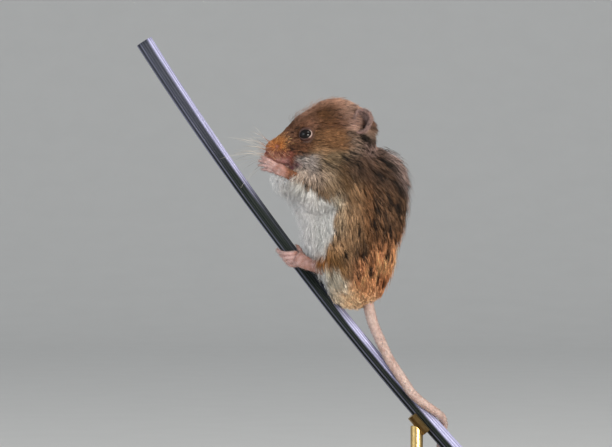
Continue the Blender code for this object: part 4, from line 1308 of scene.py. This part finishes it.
def scatter(points, faces, density):
    """Random places on the triangles, as many per square millimetre as density says, and normals."""
    corners = points[faces]
    area = 0.5 * np.linalg.norm(
        np.cross(corners[:, 1] - corners[:, 0], corners[:, 2] - corners[:, 0]), axis=1
    )
    weight = np.cumsum(area * density(corners.mean(1)))
    count = int(weight[-1])
    chosen = np.searchsorted(weight, (np.arange(count) + rng.random(count)) * weight[-1] / count)
    chosen = np.minimum(chosen, len(faces) - 1)
    a, b = rng.random((2, count, 1))
    swap = a + b > 1
    a, b = np.where(swap, 1 - a, a), np.where(swap, 1 - b, b)
    spot = corners[chosen]
    normals = vertex_normals(points, faces)[faces[chosen]]
    place = spot[:, 0] * (1 - a - b) + spot[:, 1] * a + spot[:, 2] * b
    normal = normals[:, 0] * (1 - a - b) + normals[:, 1] * a + normals[:, 2] * b
    return place, normal / np.linalg.norm(normal, axis=1)[:, None]


def nearest(points, centres):
    """For each point the number of the nearest centre, a few thousand points at a time."""
    found = np.empty(len(points), int)
    centres = centres.astype(np.float32)
    half = (centres**2).sum(1) / 2
    for start in range(0, len(points), 4000):
        part = points[start : start + 4000].astype(np.float32)
        found[start : start + 4000] = (part @ centres.T - half).argmax(1)
    return found


def unwrap(points):
    """Each root's place on the skin unrolled: the body as one cylinder, the head as another above."""
    x, y, z = points.T
    on_head = (neck_side(points) > 0.5)[:, None]
    body = np.stack([np.arctan2(y, 2.0 - x) / (2 * math.pi) + 0.5, 0.03 + 0.5 * (z - 40.0) / 33.0], 1)
    head = np.stack([np.arctan2(y, z - 72.5) / (2 * math.pi) + 0.5, 0.57 + 0.4 * (x + 16.0) / 24.0], 1)
    return np.clip(np.where(on_head, head, body), 0.01, 0.99)


def lay(roots, normals, ways, lengths, rises, spacing, pull, stretch, unlike):
    """The bend and the tip of each tuft, its sideways direction and the number of its lock.

    It runs its length the way the coat lies there and ends at its rise above the skin. Each lock
    has its own turn, length and rise, and its tufts' tips are pulled towards the tip of its middle
    tuft. Locks are found in coordinates shortened along stretch, so they are long that way, and
    unlike is how much locks and tufts differ, 1 for a rough coat and 0 for an even one."""
    ways = ways - normals * (ways * normals).sum(1)[:, None]
    ways /= np.maximum(np.linalg.norm(ways, axis=1), 1e-9)[:, None]
    sideways = np.cross(normals, ways)
    count = max(8, int(len(roots) / spacing))
    middle = rng.choice(len(roots), count, replace=False)
    packed = roots * stretch
    lock = nearest(packed, packed[middle])
    lock_turn = rng.normal(0.0, LOCK_TURN, count)[lock] + rng.normal(0.0, TUFT_TURN, len(roots))
    ways = ways + sideways * lock_turn[:, None]
    lengths = lengths * (rng.uniform(0.8, 1.15, count)[lock] * rng.uniform(0.8, 1.12, len(roots))) ** unlike
    rises = rises * (rng.uniform(0.75, 1.2, count)[lock] * rng.uniform(0.7, 1.1, len(roots))) ** unlike
    tips = roots + ways * lengths[:, None] + normals * rises[:, None]
    target = tips[middle][lock] + (roots - roots[middle][lock]) * 0.1
    tips = tips + (target - tips) * np.broadcast_to(pull, len(roots))[:, None]
    bend = roots + (tips - roots) * BEND_AT + normals * (rises * BEND_RISE)[:, None]
    return bend, tips, sideways, lock


def spikes(name, roots, normals, bend, tips, sideways, widths, colours):
    """One mesh of tufts: a ring of three points at the root, one at the bend, and the tip."""
    ring = np.array([(-0.5, 0.0), (0.5, 0.0), (0.0, 0.42)])
    rings = []
    for middle, share in ((roots - normals * ROOT_DEPTH, 0.85), (bend, 1.0)):
        step = (widths * share)[:, None, None]
        rings.append(
            middle[:, None]
            + step * (sideways[:, None] * ring[None, :, :1] + normals[:, None] * ring[None, :, 1:])
        )
    points = np.concatenate(rings + [tips[:, None]], axis=1)
    pattern = np.array(
        [(0, 1, 4), (0, 4, 3), (1, 2, 5), (1, 5, 4), (2, 0, 3)]
        + [(2, 3, 5), (3, 4, 6), (4, 5, 6), (5, 3, 6), (0, 2, 1)]
    )
    faces = (pattern[None] + 7 * np.arange(len(roots))[:, None, None]).reshape(-1, 3)
    piece = mesh_piece(name, points.reshape(-1, 3), faces)
    shade = np.repeat(colours, (3, 3, 1), axis=1)
    shade = np.concatenate([shade, np.ones((*shade.shape[:2], 1))], axis=2)
    point_layer(piece, "coat_colour", "FLOAT_COLOR", shade)
    home = unwrap(roots)[:, None]
    spread = np.array([(0, 0), (1, 0), (0.5, 0), (0, 0.6), (1, 0.6), (0.5, 0.6), (0.5, 1)]) - 0.5
    set_uv(piece.data, "OFBake", (home + spread[None] * PATCH).reshape(-1, 2))
    piece.data.materials.append(fur)
    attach(piece, "root")


def coat(
    name, grown, ways, lengths, rises, widths, spacing, pull, colours, stretch=(1.0, 1.0, 1.0), unlike=1.0
):
    """Lays the tufts, colours them by root, lock and length, and makes pieces of a size to keep.

    Spacing is the number of tufts to a lock. The rest is as lay has it."""
    roots, normals = grown
    bend, tips, sideways, lock = lay(roots, normals, ways, lengths, rises, spacing, pull, stretch, unlike)
    widths = np.broadcast_to(widths, len(roots)) * rng.uniform(0.7, 1.3, len(roots))
    shade = colours(roots + (tips - roots) * 0.6, lock)
    count = -(-len(roots) // TUFTS_A_PIECE)
    order = np.argsort(unwrap(roots)[:, 1], kind="stable")
    for number, part in enumerate(np.array_split(order, count)):
        label = name if count == 1 else f"{name}_{number + 1}"
        made = (roots, normals, bend, tips, sideways, widths, shade)
        spikes(label, *(values[part] for values in made))
    print(name, len(roots), "tufts")


fur, fur_shader = new_material("fur")
_, fine = speckle(fur, STRAND_STOPS, Scale=5200.0, Detail=3.0, Roughness=0.6)
toned = mixed(fur, 1.0, attribute(fur, "coat_colour", "Color"), fine, "MULTIPLY")
dress(fur, fur_shader, toned, Roughness=0.6, Specular_IOR_Level=0.25)

# Coat: colours
# Banded hair on the back, with slate roots, darkened further as painted shade between the locks, a
# warm middle, a paler end that is partly painted highlight, and now and then a black tip. On the
# underside it is white all along.
BLACK_TIP = (0.030, 0.022, 0.018)
SLATE = (0.10, 0.072, 0.06)
LIGHTEST = 0.95
DARK_LOCK_SHADE = 0.16
DARK_TUFT_SHADE = 0.45
PALE_END_SHARE = 0.3


def even(number):
    """A function that gives every place this number."""
    return lambda points: np.full(len(points), number)


def coat_colours(hue_at, dark_locks, dark_tufts, seed):
    """A function that gives each tuft its root, bend and tip colours.

    Whole locks end in black, more of them on the back, and single tufts too. Locks differ a
    little in lightness, and every third tuft or so has a paler end, which is partly painted highlight."""

    def colours(seen, lock):
        """Root, bend and tip of each tuft, given the place that its hue is read at and its lock."""
        made = np.random.default_rng(seed)
        middle = hue_at(seen)
        lock_tone = made.normal(1.0, 0.10, lock.max() + 1)[lock]
        lock_draw = made.random(lock.max() + 1)[lock]
        white = pale_share(seen)
        tone = lock_tone * rng.normal(1.0, 0.27, len(seen)) * (1 + 0.10 * waves(seen, 4.0, seed))
        white_tone = np.clip(rng.normal(1.0, 0.04, len(seen)), 0.8, 1.1)
        tone = np.clip(tone, 0.5, 1.7) * (1 - white) + white_tone * white
        middle = np.clip(middle * tone[:, None], 0.0, LIGHTEST)
        in_dark_lock = (lock_draw < dark_locks(seen)) & (rng.random(len(seen)) < 0.8)
        streak = dark_streaks(seen)
        in_dark_lock |= rng.random(len(seen)) < 1.5 * streak - 0.2
        middle *= 1 - 0.9 * streak[:, None]
        black = (in_dark_lock | (rng.random(len(seen)) < dark_tufts(seen))) & (white < 0.5)
        pale = rng.random(len(seen)) < PALE_END_SHARE * (1 - white)
        # The tip: lighter than the middle, partly as the hair's own banding and partly as painted highlight.
        tip = middle * (1.12 + 0.35 * pale)[:, None]
        tip = np.where(black[:, None], np.asarray(BLACK_TIP), tip)
        shade = np.where(in_dark_lock, DARK_LOCK_SHADE, DARK_TUFT_SHADE)
        bend = np.where(black[:, None], middle * shade[:, None], middle)
        # The root: slate underfur, darkened further as painted shade between the locks, except on pale fur.
        root = middle * 0.62 + np.asarray(SLATE) * 0.12
        root = root + (middle * 0.9 - root) * white[:, None]
        return np.stack([root, bend, np.clip(tip, 0.0, LIGHTEST)], axis=1)

    return colours


few = even(0.03)

# Coat: body
# Long loose fur that falls from the nape and shoulders to the rump in dark-ended locks, and short
# dense white fur on the throat, chest and belly.
BODY_DENSITY = 36.0
WHITE_DENSITY = 74.0
FAN_AT = (-11.6, 2.2, 72.7)


def body_way(points):
    """The way the body's coat lies: down and a little back, and in towards the tail on the rump."""
    x, _, z = points.T
    way = np.stack([0.24 + 0 * x, 0 * x, -1.0 + 0 * x], axis=1)
    way[:, 0] += 0.5 * smooth_step(z, 61.0, 68.0) * smooth_step(x, -6.0, 0.0)
    chest = smooth_step(-x, 3.0, 7.0) * smooth_step(z, 55.0, 62.0)
    way[:, 0] -= 0.75 * chest
    home = np.array([5.2, 0.0, 41.0]) - points
    home /= np.linalg.norm(home, axis=1)[:, None]
    share = smooth_step(48.0 - z, 0.0, 6.0)[:, None] * 0.2
    way = way * (1 - share) + home * share
    calm = 1 - 0.5 * smooth_step(48.5 - z, 0.0, 3.0)
    swerve = [waves(points, 7.0, 3) * 0.15 * calm, waves(points, 6.0, 4) * 0.13 * calm, 0 * x]
    return way + np.stack(swerve, axis=1)


def head_way(points):
    """Back from the nose, down over the cheeks and the nape, away from the eyes and the whisker pads."""
    x, y, z = points.T
    down = -0.08 - 1.7 * smooth_step(x, 1.0, 5.5) - 0.40 * smooth_step(73.5 - z, 0.0, 5.0)
    throat = smooth_step(-x, 4.0, 8.0) * (1 - smooth_step(z, 66.5, 69.5))
    way = np.stack([1.0 - 1.25 * throat, 0.1 * np.sign(y), down - 0.5 * throat], axis=1)
    for side in (-1, 1):
        for centre, near, far in ((EYE_AT, 1.6, 2.6), (FAN_AT, 1.2, 3.0)):
            away = points - mirrored(centre, side)
            apart = np.linalg.norm(away, axis=1)[:, None]
            way = way + away / apart * (1 - smooth_step(apart, near, far)) * (0.7 if near > 1.5 else 1.6)
    return way


def either_way(points):
    """The way the coat lies on the head or body, and between them across the neck."""
    share = neck_side(points, 3.0)[:, None]
    return body_way(points) * (1 - share) + head_way(points) * share


def clear_of_feet(points):
    """1 where the coat grows, 0 where a foot comes out of it."""
    gap = np.full(len(points), 9.0)
    for side in (-1, 1):
        gap = np.minimum(gap, distance_to_line(points, np.array(FOOT_LINE[2:]) * (1, side, 1)))
    return smooth_step(gap, 1.0, 1.6)


def body_density(points):
    """Tufts a square millimetre on the body."""
    white = pale_share(points)
    dense = BODY_DENSITY + (WHITE_DENSITY - BODY_DENSITY) * white
    return dense * (1 - neck_side(points)) * clear_of_feet(points)


def on_back(points):
    """1 on the back, 0 on the flank and below."""
    return smooth_step(points[:, 0], 1.5, 8.0) * smooth_step(points[:, 2], 50.0, 57.0)


body_triangles = triangles(body_quads)
grown = scatter(body_points, body_triangles, body_density)
roots = grown[0]
z = roots[:, 2]
back, white = on_back(roots), white_share(roots)
low_down = smooth_step(49.0 - z, 0.0, 5.0)
hanging = smooth_step(-grown[1][:, 2], 0.25, 0.85) * smooth_step(48.5 - z, 0.0, 2.0)
coat(
    "coat_body",
    grown,
    either_way(roots),
    lengths=3.1 + 1.0 * back - 1.1 * white - 0.6 * low_down - 1.2 * hanging,
    rises=1.1 - 0.15 * back - 0.25 * white + 0.75 * hanging,
    widths=0.128 - 0.044 * pale_share(roots),
    spacing=16,
    pull=0.30 + 0.40 * back - 0.25 * white,
    stretch=(1.0, 1.0, 0.35),
    unlike=1.0 - 0.6 * white,
    colours=coat_colours(
        either_hue,
        lambda p: 0.03 + 0.23 * on_back(p) + 0.05 * smooth_step(p[:, 2], 62.0, 68.0),
        lambda p: 0.06 + 0.09 * on_back(p),
        11,
    ),
)

# Coat: head
# Short dense fur that lies from the nose to the nape, shortest on the muzzle and round the eyes,
# longer on the cheeks and in front of the ears.
HEAD_DENSITY = 76.0
MUZZLE_DENSITY = 105.0


def nearer(points, place):
    """Each point's distance to this place or to its mirror image, whichever is the nearer."""
    return np.minimum(*(np.linalg.norm(points - mirrored(place, side), axis=1) for side in (-1, 1)))


def eye_gap(points):
    """The distance of each place to the nearer eye's middle."""
    return nearer(points, EYE_AT)


def pad_share(points):
    """1 on the whisker pads, where the fur is thin, and 0 away from them."""
    return (1 - smooth_step(nearer(points, PAD_AT), 1.3, 2.1)) * (1 - smooth_step(points[:, 2], 71.6, 72.4))


def head_density(points):
    """Tufts a square millimetre on the head: none on the nose and lips, few on the whisker pads."""
    x, z = points[:, 0], points[:, 2]
    bare_nose = smooth_step(np.linalg.norm(points - np.array(NOSE_AT), axis=1), 1.0, 1.5)
    near = (x < FACE_END) & (z > CHEST_TOP - 1.0)
    gap = np.full(len(points), 9.0)
    gap[near] = distance_to_line(points[near], mouth)
    dense = HEAD_DENSITY + (MUZZLE_DENSITY - HEAD_DENSITY) * smooth_step(-x, 7.0, 11.0)
    dense = dense * smooth_step(gap, 0.45, 1.1) * smooth_step(eye_gap(points), 1.5, 1.68)
    return dense * bare_nose * neck_side(points) * (1 - 0.62 * pad_share(points))


grown = scatter(body_points, body_triangles, head_density)
roots = grown[0]
x, _, z = roots.T
short = smooth_step(-x, 4.0, 12.0)
nape = smooth_step(x, -1.0, 5.0)
by_eye = 1 - smooth_step(eye_gap(roots), 1.6, 3.0)
low_cheek = smooth_step(74.5 - z, 0.0, 5.0) * smooth_step(x, -10.0, -6.0)
ear_tuft = patch(roots, 2.3, 77.0, 2.0)
coat(
    "coat_head",
    grown,
    either_way(roots),
    lengths=(2.25 - 1.5 * short + 0.7 * nape + 0.6 * low_cheek + 1.5 * ear_tuft) * (1 - 0.6 * by_eye),
    rises=(1.05 * head_coat(x) + 0.10 + 0.15 * low_cheek + 0.55 * ear_tuft - 0.15 * nape)
    * (1 - 0.6 * by_eye),
    widths=0.096 - 0.03 * short,
    spacing=14,
    pull=0.30 + 0.30 * nape - 0.15 * short,
    stretch=(0.45, 1.0, 0.9),
    colours=coat_colours(
        either_hue,
        lambda p: 0.015 + 0.12 * smooth_step(p[:, 0], 0.0, 4.0) * (1 - smooth_step(p[:, 2], 76.0, 78.0)),
        lambda p: 0.07 + 0.05 * smooth_step(p[:, 0], -4.0, 4.0) + 0.4 * patch(p, -1.2, 68.3, 2.6),
        12,
    ),
)

# Coat: guard hairs
# Long single hairs and a few raised locks that stand out of the coat on the back and crown, shorter
# hairs on the brow and chest, and a fan of stiff pale hairs on each side of the muzzle.
GUARD_DENSITY = 3.2
SHORT_GUARD_DENSITY = 10.0
ROUGH_DENSITY = 3.2
FAN_DENSITY = 26.0
FAN_ORANGE = (0.82, 0.38, 0.14)
FAN_PALE = (0.60, 0.38, 0.29)


def guard_density(points):
    """Hairs a square millimetre: most on the back, about a third of that below, none on the face."""
    on_top = smooth_step(points[:, 0], -4.0, 4.0) * smooth_step(points[:, 2], 46.0, 52.0)
    return GUARD_DENSITY * (0.35 + 0.65 * on_top) * smooth_step(points[:, 0], -8.0, -4.0)


def rough_density(points):
    """Tufts a square millimetre in the locks that stand up on the nape, upper back and crown."""
    x, z = points[:, 0], points[:, 2]
    upper_back = smooth_step(x, 4.0, 8.0) * smooth_step(z, 56.0, 62.0) * (1 - neck_side(points))
    on_crown = smooth_step(z - 0.1 * x, 78.0, 79.6) * smooth_step(x, -7.0, -4.0)
    return ROUGH_DENSITY * (upper_back + 1.4 * on_crown)


def short_guard_density(points):
    """Hairs a square millimetre on the crown, the brow and the white underside."""
    on_crown = smooth_step(points[:, 2] + 0.6 * (points[:, 0] + 10.0), 76.5, 78.5)
    on_crown = on_crown * smooth_step(-points[:, 0], -4.5, -2.0)
    shown = np.maximum(on_crown * neck_side(points), white_share(points))
    return SHORT_GUARD_DENSITY * shown * smooth_step(eye_gap(points), 1.8, 2.4) * clear_of_feet(points)


def fan_density(points):
    """Hairs a square millimetre round the middle of each whisker fan."""
    inside = 1 - smooth_step(nearer(points, FAN_AT), 1.4, 3.0)
    return FAN_DENSITY * inside * smooth_step(points[:, 2], 70.2, 71.4)


def fan_hue(points):
    """Orange in the middle of the fan and pale towards the nose and lips."""
    forward = smooth_step(-points[:, 0], 12.9, 13.9)
    low = smooth_step(72.0 - points[:, 2], 0.0, 0.8) * 0.7
    return layered(points, FAN_ORANGE, (FAN_PALE, forward), (FAN_PALE, low))


guard = scatter(body_points, body_triangles, guard_density)
roots = guard[0]
on_head = neck_side(roots)
back = on_back(roots)
coat(
    "guard_hairs",
    guard,
    either_way(roots),
    lengths=(3.3 + 1.3 * back) * (1 - 0.35 * on_head),
    rises=1.65 + 0.1 * back - 0.6 * on_head,
    widths=0.07,
    spacing=1.2,
    pull=0.15,
    stretch=(1.0, 1.0, 0.6),
    colours=coat_colours(either_hue, lambda p: 0.35 + 0.4 * on_back(p), even(0.1), 13),
)
grown = scatter(body_points, body_triangles, rough_density)
crown = neck_side(grown[0])
coat(
    "rough_locks",
    grown,
    either_way(grown[0]),
    lengths=2.7 - 1.2 * crown,
    rises=1.6 + 0.05 * crown,
    widths=0.11 - 0.03 * crown,
    spacing=5,
    pull=0.8,
    stretch=(1.0, 1.0, 0.8),
    unlike=1.5,
    colours=coat_colours(either_hue, lambda p: 0.75 - 0.35 * neck_side(p), few, 19),
)
grown = scatter(body_points, body_triangles, short_guard_density)
white = white_share(grown[0])
coat(
    "guard_hairs_short",
    grown,
    either_way(grown[0]),
    lengths=1.6 + 0.2 * white,
    rises=1.5 + 0.2 * white,
    widths=0.05,
    spacing=1.2,
    pull=0.1,
    colours=coat_colours(either_hue, few, few, 17),
)
grown = scatter(body_points, body_triangles, fan_density)
coat(
    "muzzle_fan",
    grown,
    either_way(grown[0]),
    lengths=1.35,
    rises=0.4,
    widths=0.048,
    spacing=3,
    pull=0.2,
    colours=coat_colours(fan_hue, few, even(0.08), 18),
)

# Coat: ears, hands, feet and tail
# Fine short hairs, brown on the ears and pale on the hands and feet, where they thicken towards
# the coat. On the tail they are sparse and stiff.
EAR_DENSITY = 46.0
LIMB_DENSITY = 17.0
LIMB_COAT_DENSITY = 67.0
TAIL_DENSITY = 8.0
EAR_HAIR = (0.35, 0.235, 0.205)
DIGIT_HAIR = (0.55, 0.40, 0.37)
WRIST_HAIR = (0.35, 0.15, 0.075)
TAIL_HAIR = (0.40, 0.30, 0.26)


def plain_hue(base):
    """A function that gives every place this colour."""
    return lambda points: tinted(points, base)


for (ear_points, ear_faces), side, word in zip(ears, (-1, 1), ("left", "right")):
    grown = scatter(ear_points, ear_faces, even(EAR_DENSITY))
    coat(
        f"coat_ear_{word}",
        grown,
        tinted(grown[0], (0.55, 0.25 * side, 0.8)),
        lengths=0.75,
        rises=0.22,
        widths=0.05,
        spacing=6,
        pull=0.1,
        colours=coat_colours(plain_hue(EAR_HAIR), few, few, 14),
    )


def up_limb(points):
    """0 on the hands and feet, rising to 1 up the forearm and at the heel, where the coat begins."""
    on_arm = points[:, 2] > LEGS_PART
    return smooth_step(points[:, 0] + np.where(on_arm, 0.0, -6.5), -10.4, -8.2)


def limb_density(points):
    """Hairs a square millimetre: fewest on the digits, four times as many where the coat begins."""
    return LIMB_DENSITY + (LIMB_COAT_DENSITY - LIMB_DENSITY) * up_limb(points)


def limb_hue(points):
    """Pale on the digits, and more orange the nearer the coat."""
    along = points[:, 0] - np.where(points[:, 2] > LEGS_PART, 0.0, 5.0)
    return layered(points, DIGIT_HAIR, (WRIST_HAIR, smooth_step(along, -14.0, -9.4)))


for number, (limb_points, limb_quads) in enumerate(limb_parts):
    side = 1 if number % 2 else -1
    name = ("coat_foreleg_" if number < 2 else "coat_foot_") + ("right" if side > 0 else "left")
    grown = scatter(limb_points, triangles(limb_quads), limb_density)
    upper = up_limb(grown[0])
    coat(
        name,
        grown,
        tinted(grown[0], (-1.0, 0.1 * side, 0.35)),
        lengths=0.6 + 0.45 * upper,
        rises=0.12 + 0.1 * upper,
        widths=0.04 + 0.025 * upper,
        spacing=5,
        pull=0.1,
        colours=coat_colours(limb_hue, few, few, 15),
    )

grown = scatter(tail_points, tail_faces, even(TAIL_DENSITY))
station = nearest(grown[0], tail_line)
coat(
    "coat_tail",
    grown,
    ahead[station],
    lengths=0.62,
    rises=0.13,
    widths=0.045,
    spacing=5,
    pull=0.0,
    colours=coat_colours(plain_hue(TAIL_HAIR), few, few, 16),
)

# Whiskers
# Long stiff hairs in rows on each whisker pad that sweep forward and out, and a few over each eye.
# They are brown at the root, and pale with darker lengths further out.
WHISKER_RADIUS = 0.026
WHISKER_ROWS = (
    (-13.9, 71.85, 5), (-13.8, 71.3, 5), (-13.6, 70.85, 4), (-13.3, 72.4, 4), (-13.0, 70.55, 3),
)
WHISKER_LENGTHS = (7.0, 11.5)
BROW_HAIR_LENGTH = 4.2
WHISKER_STEPS = 12
WHISKER_SIDES = 5
WHISKER_STOPS = [(0.38, (0.10, 0.07, 0.05)), (0.5, (0.62, 0.55, 0.46)), (0.7, (0.85, 0.80, 0.72))]
WHISKER_ROOT = (0.30, 0.13, 0.075, 1.0)


def hair_tubes(name, lines, radius, finish):
    """One mesh of tapered tubes: rings of radius (1 - share)^0.8 along each line, closed at both ends."""
    shapes = []
    for line in lines:
        taper = radius * (1 - np.linspace(0.0, 1.0, len(line))) ** 0.8 + 0.006
        shapes.append(limb(line, taper, WHISKER_SIDES, flat_to=(0.1, 0.3, 1.0)))
    piece = mesh_piece(name, *joined(shapes))
    piece.data.materials.append(finish)
    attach(piece, "root")


whisker_hair, whisker_shader = new_material("whisker_hair")
place = node(whisker_hair, "ShaderNodeTexCoord").outputs["Object"]
_, whisker_colour = speckle(whisker_hair, WHISKER_STOPS, None, place, Scale=260.0, Detail=2.0)
along = node(whisker_hair, "ShaderNodeSeparateXYZ")
wire(whisker_hair, place, along.inputs["Vector"])
clear = node(whisker_hair, "ShaderNodeMapRange")
clear.inputs["From Min"].default_value = -14.2 * MM
clear.inputs["From Max"].default_value = -16.0 * MM
wire(whisker_hair, along.outputs["X"], clear.inputs["Value"])
whisker_tone = mixed(whisker_hair, clear.outputs["Result"], WHISKER_ROOT, whisker_colour)
dress(whisker_hair, whisker_shader, whisker_tone, Roughness=0.35)
for side, word in ((-1, "left"), (1, "right")):
    lines = []
    pad_side = body_points[body_points[:, 1] * side > 0.6]
    for row_x, row_z, count in WHISKER_ROWS:
        for number in range(count):
            spot = np.array((row_x + 0.5 * number, 2.0 * side, row_z + 0.08 * number))
            base = pad_side[np.abs(pad_side[:, [0, 2]] - spot[[0, 2]]).sum(1).argmin()]
            reach = rng.uniform(*WHISKER_LENGTHS)
            lift = 0.5 * (row_z - 71.2) + rng.normal(0.0, 0.22)
            way = np.array((-1.0, side * (0.3 + 0.22 * number), 0.3 + lift))
            way /= np.linalg.norm(way)
            bow = np.array((0.15, 0.1 * side, -0.1 - 0.7 * rng.random()))
            share = np.linspace(0.0, 1.0, WHISKER_STEPS)[:, None]
            lines.append(
                base + way * share * reach + bow * reach * 0.45 * share**2 - way * 0.15 * (1 - share)
            )
    for brow in range(3):
        base = np.array((-8.2 + 0.5 * brow, 3.1 * side, 76.4))
        base = pad_side[np.linalg.norm(pad_side - base, axis=1).argmin()]
        share = np.linspace(0.0, 1.0, WHISKER_STEPS)[:, None]
        way = np.array((-0.45 + 0.25 * brow, 0.45 * side, 0.8))
        lines.append(base + way * share * BROW_HAIR_LENGTH + np.array((1.6, 0.3 * side, 0.0)) * share**2)
    hair_tubes(f"whiskers_{word}", lines, WHISKER_RADIUS, whisker_hair)

# Claws
# A small curved horn claw on each finger and toe, thin and sharp, in a light brown that changes
# a little along it.
CLAW_LENGTH = 0.62
CLAW_CURVE = 0.42
CLAW_SIDES = 10
HORN_STOPS = [(0.3, (0.30, 0.19, 0.14)), (0.7, (0.58, 0.44, 0.35))]

horn, horn_shader = new_material("claw_horn")
_, horn_colour = speckle(horn, HORN_STOPS, Scale=3000.0, Detail=3.0)
dress(horn, horn_shader, horn_colour, Roughness=0.3)
claw_shapes = []
for tip, way, outward, radius in digit_ends:
    way = way / np.linalg.norm(way)
    out = outward - way * (outward @ way)
    out /= np.linalg.norm(out)
    share = np.linspace(0.0, 1.0, 7)[:, None]
    line = tip + out * radius * 0.45 + way * CLAW_LENGTH * share - out * (CLAW_CURVE * share**2)
    taper = 0.5 * radius * (1 - share[:, 0]) ** 0.7 + 0.02
    claw_shapes.append(limb(line, taper, CLAW_SIDES, flat_to=(0.2, 0.3, 1.0)))
claws = mesh_piece("claws", *joined(claw_shapes))
claws.data.materials.append(horn)
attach(claws, "root")
